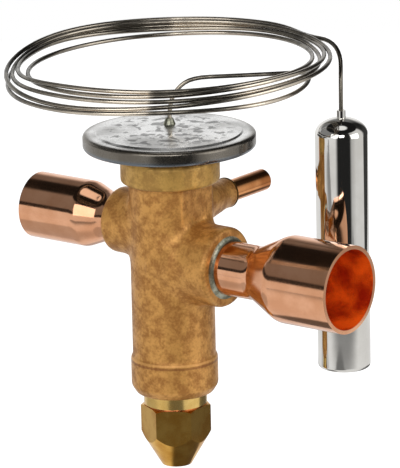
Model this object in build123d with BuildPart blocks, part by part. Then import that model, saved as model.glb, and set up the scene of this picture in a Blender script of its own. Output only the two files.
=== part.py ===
from build123d import *

import os
from math import cos, pi, radians, sin, tan

# Refrigerant expansion valve with swaged copper connections, a diaphragm element,
# a wound capillary and a sensing bulb. Millimetres, +Z up.
#
# The origin is the centre of the outlet socket's mouth, where the valve is held by its
# pipe. +X is the way the refrigerant flows: in at the inlet on the -X side, out at the
# outlet on the +X side. The equalizer connection points along +Y. Heights are measured
# from the axis of the outlet.

# ---------------------------------------------------------------- fits
slide_fit = 0.06  # radial clearance of what turns or slides in a bore
solder_gap = 0.05  # radial clearance that solder fills round a tube
face_gap = 0.05  # clearance between faces that meet but move apart
thread_gap = 0.05  # radial clearance between two mating threads
edge_margin = 0.01  # for picking edges by their height

# ---------------------------------------------------------------- reach of the ports
outlet_reach = 78.0  # valve axis to the outlet's mouth
inlet_reach = 61.0  # valve axis to the inlet's mouth
equalizer_reach = 55.0  # valve axis to the equalizer's mouth
inlet_height = 11.1  # inlet axis above the outlet axis
equalizer_height = 16.8  # equalizer axis above the outlet axis

# ---------------------------------------------------------------- copper connections
outlet_socket_d = 28.7  # takes 1 1/8 inch tube
outlet_wall = 1.4
outlet_socket_depth = 26.0
outlet_swage = 12.5  # length of the cone
outlet_neck_d = 19.5  # outside

inlet_socket_d = 22.35  # takes 7/8 inch tube
inlet_wall = 0.9
inlet_socket_depth = 24.5
inlet_swage = 8.5
inlet_neck_d = 17.5  # outside

equalizer_socket_d = 6.45  # takes 1/4 inch tube
equalizer_wall = 0.78

tube_seat = 7.0  # how deep each tube sits in its boss
swage_bend = 7.0  # radius where a cone meets a straight stretch
braze_width = 1.6  # width of the solder ring on the boss's face
braze_height = 0.9

# ---------------------------------------------------------------- body forging
body_up = 37.5  # outlet axis to the face that the element seats on
body_down = 49.7  # outlet axis to the face that the gland seats on
barrel_d = 30.0
top_collar_d = 35.7
top_collar_height = 8.9
bottom_collar_d = 31.4
bottom_collar_height = 13.3
bottom_chamfer = 3.0  # height of the chamfer under the bottom collar
bottom_chamfer_width = 1.9
wrench_flats = 24.0  # across the two flats under the top collar
flats_height = 15.6  # how far the flats reach down from the top collar

outlet_boss_d = 29.0
outlet_boss_reach = 25.0
boss_flare = 1.0  # how much wider a boss is at its root
boss_flare_length = 4.0
boss_flare_inset = 2.0  # how far inside the flats the flare starts
inlet_boss_d = 24.0
inlet_boss_reach = 24.0
equalizer_boss_d = 11.0
equalizer_boss_root_d = 18.0
equalizer_boss_reach = 33.0
equalizer_cone_from = 9.0  # where the boss's cone starts, from the valve axis
equalizer_cone_to = 29.0
forged_edge = 1.0  # rounding of the forging's outer edges

# ---------------------------------------------------------------- passages in the body
element_thread_d = 24.0
element_thread_depth = 9.0
equalizing_chamber_d = 21.0
equalizing_chamber_depth = 15.5  # below the body's top face
inlet_chamber_d = 13.0
inlet_chamber_up = 5.0  # inlet axis to the chamber's ceiling
web_under = 1.0  # outlet axis to the underside of the web that holds the seat
web_thickness = 4.0
outlet_chamber_d = 19.0
inlet_port_d = 9.8
outlet_port_d = 14.0
outlet_port_depth = 9.0  # valve axis to the port's blind end
equalizer_port_d = 3.8
balance_hole_d = 3.0  # hole from the equalizer port up to the equalizing chamber
balance_hole_out = 8.4  # its distance from the valve axis
gland_thread_d = 20.0
gland_thread_depth = 8.7
key_width = 3.0
key_height = 1.0
key_room = 0.24  # over the key, at the bottom of its slot
key_slot_length = 18.0  # up from the gland's thread

# ---------------------------------------------------------------- diaphragm element
element_d = 62.0
element_rim = 6.0  # height of the welded rim
rim_round = 1.4
lid_face_d = 52.0  # raised face of the lid
lid_step = 0.5
element_floor = 2.4  # metal under the thrust pad
dish_height = 3.5  # from the body's top face up to the rim
dish_top_d = 54.0
element_cavity_d = 50.0
lid_cavity = 1.3
diaphragm_d = 57.0
diaphragm_thickness = 0.3
element_neck_bore = 18.0

# ---------------------------------------------------------------- lift train
pad_d = 40.0
pad_thickness = 2.5
pad_stem_d = 10.0
pad_stem = 5.2
pad_room = 1.0  # radial space round the pad, on the floor of the element
rod_d = 4.0
rod_in_pad = 2.2  # how deep the rod sits in the pad's stem
rod_hole_d = 4.6  # hole through the web, wider than the rod
guide_d = 10.0
guide_length = 2.7
seal_section = 1.8
seat_d = 12.0
seat_flange_d = 14.0
seat_flange = 1.0
orifice_d = 8.0
cone_base_d = 10.0
cone_tip_d = 5.6
cone_foot = 1.6  # straight part under the cone
carrier_d = 16.0
carrier_thickness = 3.0
carrier_spigot_d = 11.0
carrier_spigot = 3.0
carrier_chamfer = 1.0
carrier_boss = 3.0  # from the carrier's flange up to the cone

# ---------------------------------------------------------------- superheat setting
spring_length = 21.0
spring_d = 15.2  # outside
spring_wire = 1.8
spring_turns = 5.5
seat_thickness = 5.0
seat_spigot = 2.0
setting_travel = 3.0  # up and down from the factory setting
spindle_thread_d = 8.0
spindle_collar_d = 10.0
spindle_collar = 2.2
spindle_stem_d = 8.0
spindle_end = 18.4  # below the body's bottom face
square_width = 5.0
square_length = 4.4
ring_section = 1.5  # spindle O-ring
ring_drop = 9.5  # body's bottom face to the middle of the O-ring

# ---------------------------------------------------------------- gland and seal cap
gland_d = 22.8
gland_flange = 4.0
gland_plug = 8.4
gland_seal_thickness = 0.3
gland_seal_bore = 20.4
collar_pocket = 3.0  # pocket in the gland for the spindle's collar
nipple_d = 16.0
nipple_length = 8.0
gasket_thickness = 0.6
cap_flats = 22.0
cap_hex_height = 10.2
cap_height = 22.5
cap_tip_d = 11.0
cap_hex_chamfer = 1.1
cap_turned = -86.8  # angle of the hexagon when the cap is tight
cap_bore_depth = 9.6
cap_room_d = 9.6  # hollow round the end of the spindle
cap_room = 5.4

# ---------------------------------------------------------------- capillary and bulb
capillary_d = 1.6
bulb_bearing = 36.87  # angle from the outlet's direction to the bulb
bulb_out = 61.3  # valve axis to the bulb's axis
bulb_d = 19.0
bulb_bottom = -41.9
bulb_length = 92.5
bulb_shoulder = 6.0  # height of the domed top
bulb_foot_round = 1.5
bulb_neck_d = 3.2
bulb_neck = 2.6
coil_height = 70.6
coil_d = 107.0  # through the middle of the bundle
coil_bundle_width = 8.4
coil_bundle_height = 8.4
coil_bundle_round = 2.8  # rounding of the bundle's corners
coil_lean = 1.3  # degrees that the coil rises towards the bulb
lead_foot = 0.2  # start of the lead above the lid's face
ferrule_out = 10.0  # valve axis to the capillary's joint on the lid
ferrule_d = 4.4
ferrule_top_d = 2.6
ferrule_height = 2.2

# ---------------------------------------------------------------- worked out
axis_x = -outlet_reach
gland_face = -body_down - gland_seal_thickness
rim_bottom = body_up + dish_height
element_top = rim_bottom + element_rim
split = rim_bottom + element_rim / 2  # where the lid and the base meet
floor_level = body_up + element_floor
chamber_floor = body_up - equalizing_chamber_depth
web_top = web_under + web_thickness
inlet_ceiling = inlet_height + inlet_chamber_up
top_collar_bottom = body_up - top_collar_height
bottom_collar_top = -body_down + bottom_collar_height
gland_thread_top = -body_down + gland_thread_depth

valve_axis = Axis((axis_x, 0, 0), (0, 0, 1))
outlet_axis = Axis((axis_x, 0, 0), (1, 0, 0))
inlet_axis = Axis((axis_x, 0, inlet_height), (-1, 0, 0))
equalizer_axis = Axis((axis_x, 0, equalizer_height), (0, 1, 0))

# half sections: the first coordinate runs along or out from the axis, the second is up
valve_section = Plane(origin=(axis_x, 0, 0), x_dir=(1, 0, 0), z_dir=(0, -1, 0))
inlet_section = Plane(origin=(axis_x, 0, inlet_height), x_dir=(-1, 0, 0), z_dir=(0, 1, 0))
equalizer_section = Plane(origin=(axis_x, 0, equalizer_height), x_dir=(0, 1, 0), z_dir=(1, 0, 0))

# the upright plane frame that faces the bulb: x runs towards it, y to its left
bulb_side = Plane(
    origin=(axis_x, 0, 0),
    x_dir=(cos(radians(bulb_bearing)), sin(radians(bulb_bearing)), 0),
    z_dir=(0, 0, 1),
)


def level(height):
    """Horizontal plane on the valve's axis."""
    return Plane(origin=(axis_x, 0, height), z_dir=(0, 0, 1))


def swaged_section(stations, neck_r, socket_r):
    """Half section, down to the axis, of a tube that widens from its neck to its socket."""
    start, cone_start, cone_end, mouth = stations
    with BuildSketch(Plane.XY) as section:
        with BuildLine():
            FilletPolyline(
                (start, neck_r),
                (cone_start, neck_r),
                (cone_end, socket_r),
                (mouth, socket_r),
                radius=swage_bend,
            )
            Polyline((mouth, socket_r), (mouth, 0), (start, 0), (start, neck_r))
        make_face()
    return section.sketch


def braze_section(tube_r, face):
    """Half section of a concave solder fillet between a tube and the face of its boss."""
    with BuildSketch(Plane.XY) as section:
        with BuildLine():
            Polyline((face + braze_height, tube_r), (face, tube_r), (face, tube_r + braze_width))
            ThreePointArc(
                (face, tube_r + braze_width),
                (face + braze_height * 0.4, tube_r + braze_width * 0.4),
                (face + braze_height, tube_r),
            )
        make_face()
    return section.sketch


os.makedirs("parts", exist_ok=True)

# ================================================================ body
key_slot_width = key_width + 2 * slide_fit
key_slot_out = outlet_chamber_d / 2 + key_height + key_room
seat_bore_r = seat_d / 2
seal_pocket_r = rod_d / 2 + slide_fit + seal_section + slide_fit
seal_top = chamber_floor - guide_length
seal_bottom = seal_top - seal_section - 2 * slide_fit

with BuildPart() as valve_body:
    with BuildSketch(valve_section):
        Polygon(
            (0, -body_down),
            (bottom_collar_d / 2 - bottom_chamfer_width, -body_down),
            (bottom_collar_d / 2, -body_down + bottom_chamfer),
            (bottom_collar_d / 2, bottom_collar_top),
            (barrel_d / 2, bottom_collar_top + (bottom_collar_d - barrel_d) / 2),
            (barrel_d / 2, top_collar_bottom),
            (top_collar_d / 2, top_collar_bottom),
            (top_collar_d / 2, body_up),
            (0, body_up),
            align=None,
        )
    revolve(axis=valve_axis)
    fillet(
        valve_body.edges().filter_by(GeomType.CIRCLE).filter_by_position(
            Axis.Z, top_collar_bottom - edge_margin, body_up + edge_margin
        ).filter_by(lambda edge: edge.radius > barrel_d / 2 + edge_margin),
        forged_edge,
    )
    # wrench flats under the top collar
    with BuildSketch(level(top_collar_bottom)):
        with Locations((-barrel_d / 2, 0), (barrel_d / 2, 0)):
            Rectangle(barrel_d - wrench_flats, barrel_d)
    extrude(amount=-flats_height, mode=Mode.SUBTRACT)
    # outlet boss, flared at its root
    with BuildSketch(valve_section):
        with BuildLine():
            root = outlet_boss_d / 2 + boss_flare
            flare_start = wrench_flats / 2 - boss_flare_inset
            flare_end = flare_start + boss_flare_length
            Polyline((0, 0), (0, root), (flare_start, root))
            ThreePointArc(
                (flare_start, root),
                (flare_start + boss_flare_length * 0.4, root - boss_flare * 0.7),
                (flare_end, outlet_boss_d / 2),
            )
            Polyline(
                (flare_end, outlet_boss_d / 2),
                (outlet_boss_reach - forged_edge, outlet_boss_d / 2),
                (outlet_boss_reach, outlet_boss_d / 2 - forged_edge),
                (outlet_boss_reach, 0),
                (0, 0),
            )
        make_face()
    revolve(axis=outlet_axis)
    # inlet boss, rounded at its end
    with BuildSketch(inlet_section):
        with BuildLine():
            end_round = 2 * forged_edge
            Polyline((0, 0), (0, inlet_boss_d / 2), (inlet_boss_reach - end_round, inlet_boss_d / 2))
            CenterArc((inlet_boss_reach - end_round, inlet_boss_d / 2 - end_round), end_round, 0, 90)
            Polyline((inlet_boss_reach, inlet_boss_d / 2 - end_round), (inlet_boss_reach, 0), (0, 0))
        make_face()
    revolve(axis=inlet_axis)
    # equalizer boss, a cone with a short straight end
    with BuildSketch(equalizer_section):
        Polygon(
            (0, 0),
            (0, equalizer_boss_root_d / 2),
            (equalizer_cone_from, equalizer_boss_root_d / 2),
            (equalizer_cone_to, equalizer_boss_d / 2),
            (equalizer_boss_reach, equalizer_boss_d / 2),
            (equalizer_boss_reach, 0),
            align=None,
        )
    revolve(axis=equalizer_axis)
    # passages about the valve's axis, from the element down to the web
    with BuildSketch(valve_section):
        Polygon(
            (0, inlet_height),
            (inlet_chamber_d / 2, inlet_height),
            (inlet_chamber_d / 2, inlet_ceiling),
            (rod_hole_d / 2, inlet_ceiling),
            (rod_hole_d / 2, seal_bottom),
            (seal_pocket_r, seal_bottom),
            (seal_pocket_r, seal_top),
            (guide_d / 2, seal_top),
            (guide_d / 2, chamber_floor),
            (equalizing_chamber_d / 2, chamber_floor),
            (equalizing_chamber_d / 2, body_up - element_thread_depth),
            (element_thread_d / 2, body_up - element_thread_depth),
            (element_thread_d / 2, body_up),
            (0, body_up),
            align=None,
        )
    revolve(axis=valve_axis, mode=Mode.SUBTRACT)
    # inlet chamber, seat bore, outlet chamber and gland thread, down to the bottom face
    with BuildSketch(valve_section):
        Polygon(
            (0, -body_down),
            (gland_thread_d / 2, -body_down),
            (gland_thread_d / 2, gland_thread_top),
            (outlet_chamber_d / 2, gland_thread_top),
            (outlet_chamber_d / 2, web_under),
            (seat_bore_r, web_under),
            (seat_bore_r, web_top),
            (inlet_chamber_d / 2, web_top),
            (inlet_chamber_d / 2, inlet_height),
            (0, inlet_height),
            align=None,
        )
    revolve(axis=valve_axis, mode=Mode.SUBTRACT)
    # keyway that stops the lower spring seat from turning
    with BuildSketch(level(gland_thread_top)):
        with Locations((0, key_slot_out / 2)):
            Rectangle(key_slot_width, key_slot_out)
    extrude(amount=key_slot_length, mode=Mode.SUBTRACT)
    # outlet: tube seat and port
    with BuildSketch(valve_section):
        Polygon(
            (outlet_port_depth, 0),
            (outlet_port_depth, outlet_port_d / 2),
            (outlet_boss_reach - tube_seat, outlet_port_d / 2),
            (outlet_boss_reach - tube_seat, outlet_neck_d / 2 + solder_gap),
            (outlet_boss_reach, outlet_neck_d / 2 + solder_gap),
            (outlet_boss_reach, 0),
            align=None,
        )
    revolve(axis=outlet_axis, mode=Mode.SUBTRACT)
    # inlet: tube seat and port
    with BuildSketch(inlet_section):
        Polygon(
            (0, 0),
            (0, inlet_port_d / 2),
            (inlet_boss_reach - tube_seat, inlet_port_d / 2),
            (inlet_boss_reach - tube_seat, inlet_neck_d / 2 + solder_gap),
            (inlet_boss_reach, inlet_neck_d / 2 + solder_gap),
            (inlet_boss_reach, 0),
            align=None,
        )
    revolve(axis=inlet_axis, mode=Mode.SUBTRACT)
    # equalizer: tube seat, port, and the hole up to the chamber under the element
    equalizer_tube_r = equalizer_socket_d / 2 + equalizer_wall
    with BuildSketch(equalizer_section):
        Polygon(
            (balance_hole_out, 0),
            (balance_hole_out, equalizer_port_d / 2),
            (equalizer_boss_reach - tube_seat, equalizer_port_d / 2),
            (equalizer_boss_reach - tube_seat, equalizer_tube_r + solder_gap),
            (equalizer_boss_reach, equalizer_tube_r + solder_gap),
            (equalizer_boss_reach, 0),
            align=None,
        )
    revolve(axis=equalizer_axis, mode=Mode.SUBTRACT)
    with BuildSketch(level(chamber_floor)):
        with Locations((0, balance_hole_out)):
            Circle(balance_hole_d / 2)
    extrude(amount=equalizer_height - chamber_floor, mode=Mode.SUBTRACT)
valve_body.part.label = "valve_body"
export_step(valve_body.part, "parts/valve_body.step")

# ================================================================ copper connections
outlet_cone_end = outlet_reach - outlet_socket_depth
outlet_stations = (
    outlet_boss_reach - tube_seat,
    outlet_cone_end - outlet_swage,
    outlet_cone_end,
    outlet_reach,
)
with BuildPart() as outlet_tube:
    with BuildSketch(valve_section):
        add(swaged_section(outlet_stations, outlet_neck_d / 2, outlet_socket_d / 2 + outlet_wall))
    revolve(axis=outlet_axis)
    with BuildSketch(valve_section):
        add(swaged_section(outlet_stations, outlet_neck_d / 2 - outlet_wall, outlet_socket_d / 2))
    revolve(axis=outlet_axis, mode=Mode.SUBTRACT)
outlet_tube.part.label = "outlet_tube"
export_step(outlet_tube.part, "parts/outlet_tube.step")

inlet_cone_end = inlet_reach - inlet_socket_depth
inlet_stations = (
    inlet_boss_reach - tube_seat,
    inlet_cone_end - inlet_swage,
    inlet_cone_end,
    inlet_reach,
)
with BuildPart() as inlet_tube:
    with BuildSketch(inlet_section):
        add(swaged_section(inlet_stations, inlet_neck_d / 2, inlet_socket_d / 2 + inlet_wall))
    revolve(axis=inlet_axis)
    with BuildSketch(inlet_section):
        add(swaged_section(inlet_stations, inlet_neck_d / 2 - inlet_wall, inlet_socket_d / 2))
    revolve(axis=inlet_axis, mode=Mode.SUBTRACT)
inlet_tube.part.label = "inlet_tube"
export_step(inlet_tube.part, "parts/inlet_tube.step")

with BuildPart() as equalizer_tube:
    with BuildSketch(equalizer_section):
        Polygon(
            (equalizer_boss_reach - tube_seat, equalizer_socket_d / 2),
            (equalizer_boss_reach - tube_seat, equalizer_tube_r),
            (equalizer_reach, equalizer_tube_r),
            (equalizer_reach, equalizer_socket_d / 2),
            align=None,
        )
    revolve(axis=equalizer_axis)
equalizer_tube.part.label = "equalizer_tube"
export_step(equalizer_tube.part, "parts/equalizer_tube.step")

with BuildPart() as outlet_braze_ring:
    with BuildSketch(valve_section):
        add(braze_section(outlet_neck_d / 2, outlet_boss_reach))
    revolve(axis=outlet_axis)
outlet_braze_ring.part.label = "outlet_braze_ring"
export_step(outlet_braze_ring.part, "parts/outlet_braze_ring.step")

with BuildPart() as inlet_braze_ring:
    with BuildSketch(inlet_section):
        add(braze_section(inlet_neck_d / 2, inlet_boss_reach))
    revolve(axis=inlet_axis)
inlet_braze_ring.part.label = "inlet_braze_ring"
export_step(inlet_braze_ring.part, "parts/inlet_braze_ring.step")

with BuildPart() as equalizer_braze_ring:
    with BuildSketch(equalizer_section):
        add(braze_section(equalizer_tube_r, equalizer_boss_reach))
    revolve(axis=equalizer_axis)
equalizer_braze_ring.part.label = "equalizer_braze_ring"
export_step(equalizer_braze_ring.part, "parts/equalizer_braze_ring.step")

# ================================================================ diaphragm element
neck_bottom = body_up - element_thread_depth + face_gap
diaphragm_bottom = split - diaphragm_thickness / 2
diaphragm_top = split + diaphragm_thickness / 2
with BuildPart() as element_base:
    with BuildSketch(valve_section):
        Polygon(
            (element_neck_bore / 2, neck_bottom),
            (element_thread_d / 2 - thread_gap, neck_bottom),
            (element_thread_d / 2 - thread_gap, body_up),
            (top_collar_d / 2 - forged_edge, body_up),
            (dish_top_d / 2, rim_bottom),
            (element_d / 2, rim_bottom),
            (element_d / 2, split),
            (diaphragm_d / 2, split),
            (diaphragm_d / 2, diaphragm_bottom),
            (element_cavity_d / 2, diaphragm_bottom),
            (element_cavity_d / 2, rim_bottom),
            (pad_d / 2 + pad_room, floor_level),
            (element_neck_bore / 2, floor_level),
            align=None,
        )
    revolve(axis=valve_axis)
    fillet(
        element_base.edges().filter_by(GeomType.CIRCLE).filter_by_position(
            Axis.Z, rim_bottom - edge_margin, rim_bottom + edge_margin
        ).sort_by(SortBy.RADIUS)[-1],
        rim_round,
    )
element_base.part.label = "element_base"
export_step(element_base.part, "parts/element_base.step")

ferrule_place = bulb_side.from_local_coords((0, ferrule_out, element_top))
with BuildPart() as element_lid:
    with BuildSketch(valve_section):
        Polygon(
            (0, diaphragm_top + lid_cavity),
            (element_cavity_d / 2 - lid_cavity, diaphragm_top + lid_cavity),
            (element_cavity_d / 2, diaphragm_top),
            (diaphragm_d / 2, diaphragm_top),
            (diaphragm_d / 2, split),
            (element_d / 2, split),
            (element_d / 2, element_top - lid_step),
            (lid_face_d / 2 + lid_step, element_top - lid_step),
            (lid_face_d / 2, element_top),
            (0, element_top),
            align=None,
        )
    revolve(axis=valve_axis)
    fillet(
        element_lid.edges().filter_by(GeomType.CIRCLE).filter_by_position(
            Axis.Z, element_top - lid_step - edge_margin, element_top - lid_step + edge_margin
        ).sort_by(SortBy.RADIUS)[-1],
        rim_round,
    )
    with BuildSketch(Plane(origin=ferrule_place)):
        Circle(capillary_d / 2)
    extrude(amount=-element_rim / 2, mode=Mode.SUBTRACT)
element_lid.part.label = "element_lid"
export_step(element_lid.part, "parts/element_lid.step")

with BuildPart() as diaphragm:
    with BuildSketch(level(diaphragm_bottom)):
        Circle(diaphragm_d / 2)
    extrude(amount=diaphragm_thickness)
diaphragm.part.label = "diaphragm"
export_step(diaphragm.part, "parts/diaphragm.step")

with BuildPart() as capillary_ferrule:
    with BuildSketch(Plane(origin=ferrule_place)):
        Circle(ferrule_d / 2)
    with BuildSketch(Plane(origin=ferrule_place).offset(ferrule_height)):
        Circle(ferrule_top_d / 2)
    loft()
    with BuildSketch(Plane(origin=ferrule_place)):
        Circle(capillary_d / 2)
    extrude(amount=ferrule_height, mode=Mode.SUBTRACT)
capillary_ferrule.part.label = "capillary_ferrule"
export_step(capillary_ferrule.part, "parts/capillary_ferrule.step")

# ================================================================ lift train
pad_top = diaphragm_bottom - face_gap
pad_bottom = pad_top - pad_thickness
stem_bottom = pad_bottom - pad_stem
rod_top = stem_bottom + rod_in_pad
with BuildPart() as thrust_pad:
    with BuildSketch(valve_section):
        Polygon(
            (0, rod_top),
            (rod_d / 2, rod_top),
            (rod_d / 2, stem_bottom),
            (pad_stem_d / 2, stem_bottom),
            (pad_stem_d / 2, pad_bottom),
            (pad_d / 2, pad_bottom),
            (pad_d / 2, pad_top),
            (0, pad_top),
            align=None,
        )
    revolve(axis=valve_axis)
thrust_pad.part.label = "thrust_pad"
export_step(thrust_pad.part, "parts/thrust_pad.step")

seat_bottom = web_under - seat_flange
# the cone is a running clearance below the edge of the orifice
cone_slope_height = (cone_base_d - cone_tip_d) / 2
cone_contact = seat_bottom - slide_fit
cone_base = cone_contact - (cone_base_d - orifice_d) / 2
cone_top = cone_base + cone_slope_height
with BuildPart() as valve_cone:
    with BuildSketch(valve_section):
        Polygon(
            (0, cone_base - cone_foot),
            (cone_base_d / 2, cone_base - cone_foot),
            (cone_base_d / 2, cone_base),
            (cone_tip_d / 2, cone_top),
            (0, cone_top),
            align=None,
        )
    revolve(axis=valve_axis)
valve_cone.part.label = "valve_cone"
export_step(valve_cone.part, "parts/valve_cone.step")

with BuildPart() as push_rod:
    with BuildSketch(level(cone_top)):
        Circle(rod_d / 2)
    extrude(amount=rod_top - cone_top)
push_rod.part.label = "push_rod"
export_step(push_rod.part, "parts/push_rod.step")

carrier_top = cone_base - cone_foot
flange_top = carrier_top - carrier_boss
flange_bottom = flange_top - carrier_thickness
with BuildPart() as pin_carrier:
    with BuildSketch(valve_section):
        Polygon(
            (0, flange_bottom - carrier_spigot),
            (carrier_spigot_d / 2 - carrier_chamfer, flange_bottom - carrier_spigot),
            (carrier_spigot_d / 2, flange_bottom - carrier_spigot + carrier_chamfer),
            (carrier_spigot_d / 2, flange_bottom),
            (carrier_d / 2, flange_bottom),
            (carrier_d / 2, flange_top),
            (cone_base_d / 2, flange_top),
            (cone_base_d / 2, carrier_top),
            (0, carrier_top),
            align=None,
        )
    revolve(axis=valve_axis)
pin_carrier.part.label = "pin_carrier"
export_step(pin_carrier.part, "parts/pin_carrier.step")

with BuildPart() as rod_guide:
    with BuildSketch(level(seal_top)):
        Circle(guide_d / 2)
        Circle(rod_d / 2 + slide_fit, mode=Mode.SUBTRACT)
    extrude(amount=guide_length)
rod_guide.part.label = "rod_guide"
export_step(rod_guide.part, "parts/rod_guide.step")

with BuildPart() as rod_seal:
    with Locations((axis_x, 0, seal_bottom + slide_fit + seal_section / 2)):
        Torus(rod_d / 2 + slide_fit + seal_section / 2, seal_section / 2)
rod_seal.part.label = "rod_seal"
export_step(rod_seal.part, "parts/rod_seal.step")

with BuildPart() as seat_insert:
    with BuildSketch(valve_section):
        Polygon(
            (orifice_d / 2, seat_bottom),
            (seat_flange_d / 2, seat_bottom),
            (seat_flange_d / 2, web_under),
            (seat_bore_r, web_under),
            (seat_bore_r, web_top),
            (orifice_d / 2, web_top),
            align=None,
        )
    revolve(axis=valve_axis)
seat_insert.part.label = "seat_insert"
export_step(seat_insert.part, "parts/seat_insert.step")

# ================================================================ superheat setting
spring_top = flange_bottom - face_gap
spring_bottom = spring_top - spring_length
spring_r = (spring_d - spring_wire) / 2
with BuildPart() as superheat_spring:
    with BuildLine():
        winding = Helix(
            pitch=spring_length / spring_turns,
            height=spring_length,
            radius=spring_r,
            center=(axis_x, 0, spring_bottom),
        )
    with BuildSketch(Plane(origin=winding @ 0, z_dir=winding % 0)):
        Circle(spring_wire / 2)
    sweep(path=winding, is_frenet=True)
    # the two ends are ground flat
    with BuildSketch(level(spring_bottom)):
        Circle(spring_d)
    extrude(amount=spring_length, mode=Mode.INTERSECT)
superheat_spring.part.label = "superheat_spring"
export_step(superheat_spring.part, "parts/superheat_spring.step")

spring_seat_top = spring_bottom - face_gap
spring_seat_bottom = spring_seat_top - seat_thickness
seat_r = outlet_chamber_d / 2 - slide_fit
with BuildPart() as spring_seat:
    with BuildSketch(level(spring_seat_bottom)):
        Circle(seat_r)
        with Locations((0, (seat_r + key_height) / 2)):
            Rectangle(key_width, seat_r + key_height)
    extrude(amount=seat_thickness)
    with BuildSketch(level(spring_seat_top)):
        Circle(carrier_spigot_d / 2)
    extrude(amount=seat_spigot)
    with BuildSketch(level(spring_seat_bottom)):
        Circle(spindle_thread_d / 2 + thread_gap)
    extrude(amount=seat_thickness + seat_spigot, mode=Mode.SUBTRACT)
spring_seat.part.label = "spring_seat"
export_step(spring_seat.part, "parts/spring_seat.step")

plug_top = gland_face + gland_seal_thickness + gland_plug
pocket_floor = plug_top - collar_pocket
collar_bottom = pocket_floor + face_gap
thread_top = spring_seat_top + setting_travel + seat_spigot
end_level = -body_down - spindle_end
ring_level = -body_down - ring_drop
groove_r = spindle_stem_d / 2 - ring_section
with BuildPart() as setting_spindle:
    with BuildSketch(valve_section):
        Polygon(
            (0, end_level + square_length),
            (spindle_stem_d / 2, end_level + square_length),
            (spindle_stem_d / 2, ring_level - ring_section / 2 - slide_fit),
            (groove_r, ring_level - ring_section / 2 - slide_fit),
            (groove_r, ring_level + ring_section / 2 + slide_fit),
            (spindle_stem_d / 2, ring_level + ring_section / 2 + slide_fit),
            (spindle_stem_d / 2, collar_bottom),
            (spindle_collar_d / 2, collar_bottom),
            (spindle_collar_d / 2, collar_bottom + spindle_collar),
            (spindle_thread_d / 2, collar_bottom + spindle_collar),
            (spindle_thread_d / 2, thread_top),
            (0, thread_top),
            align=None,
        )
    revolve(axis=valve_axis)
    with BuildSketch(level(end_level)):
        Rectangle(square_width, square_width)
    extrude(amount=square_length)
setting_spindle.part.label = "setting_spindle"
export_step(setting_spindle.part, "parts/setting_spindle.step")

with BuildPart() as spindle_o_ring:
    with Locations((axis_x, 0, ring_level)):
        Torus(groove_r + ring_section / 2, ring_section / 2)
spindle_o_ring.part.label = "spindle_o_ring"
export_step(spindle_o_ring.part, "parts/spindle_o_ring.step")

# ================================================================ gland and seal cap
gland_bottom = gland_face - gland_flange
nipple_bottom = gland_bottom - nipple_length
with BuildPart() as spindle_gland:
    with BuildSketch(valve_section):
        Polygon(
            (spindle_stem_d / 2 + slide_fit, nipple_bottom),
            (nipple_d / 2, nipple_bottom),
            (nipple_d / 2, gland_bottom),
            (gland_d / 2, gland_bottom),
            (gland_d / 2, gland_face),
            (gland_thread_d / 2 - thread_gap, gland_face),
            (gland_thread_d / 2 - thread_gap, plug_top),
            (spindle_collar_d / 2 + slide_fit, plug_top),
            (spindle_collar_d / 2 + slide_fit, pocket_floor),
            (spindle_stem_d / 2 + slide_fit, pocket_floor),
            align=None,
        )
    revolve(axis=valve_axis)
spindle_gland.part.label = "spindle_gland"
export_step(spindle_gland.part, "parts/spindle_gland.step")

with BuildPart() as gland_seal:
    with BuildSketch(level(gland_face)):
        Circle(gland_d / 2)
        Circle(gland_seal_bore / 2, mode=Mode.SUBTRACT)
    extrude(amount=gland_seal_thickness)
gland_seal.part.label = "gland_seal"
export_step(gland_seal.part, "parts/gland_seal.step")

gasket_top = gland_bottom - face_gap
cap_top = gasket_top - gasket_thickness
with BuildPart() as cap_gasket:
    with BuildSketch(level(cap_top)):
        Circle(cap_flats / 2 - cap_hex_chamfer)
        Circle(nipple_d / 2 + slide_fit, mode=Mode.SUBTRACT)
    extrude(amount=gasket_thickness)
cap_gasket.part.label = "cap_gasket"
export_step(cap_gasket.part, "parts/cap_gasket.step")

cap_corner_r = cap_flats / 2 / cos(pi / 6)
hex_bottom = cap_top - cap_hex_height
cap_bottom = cap_top - cap_height
with BuildPart() as seal_cap:
    with BuildSketch(level(cap_top)):
        RegularPolygon(cap_flats / 2, 6, major_radius=False, rotation=cap_turned)
    extrude(amount=-cap_height)
    # turned outline: chamfered corners above, a cone below
    with BuildSketch(valve_section):
        Polygon(
            (0, cap_bottom),
            (cap_tip_d / 2, cap_bottom),
            (cap_corner_r, hex_bottom),
            (cap_corner_r, cap_top - cap_hex_chamfer * tan(pi / 6)),
            (cap_corner_r - cap_hex_chamfer, cap_top),
            (0, cap_top),
            align=None,
        )
    revolve(axis=valve_axis, mode=Mode.INTERSECT)
    with BuildSketch(valve_section):
        Polygon(
            (0, cap_top - cap_bore_depth - cap_room),
            (cap_room_d / 2, cap_top - cap_bore_depth - cap_room),
            (cap_room_d / 2, cap_top - cap_bore_depth),
            (nipple_d / 2 + thread_gap, cap_top - cap_bore_depth),
            (nipple_d / 2 + thread_gap, cap_top),
            (0, cap_top),
            align=None,
        )
    revolve(axis=valve_axis, mode=Mode.SUBTRACT)
seal_cap.part.label = "seal_cap"
export_step(seal_cap.part, "parts/seal_cap.step")

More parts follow.
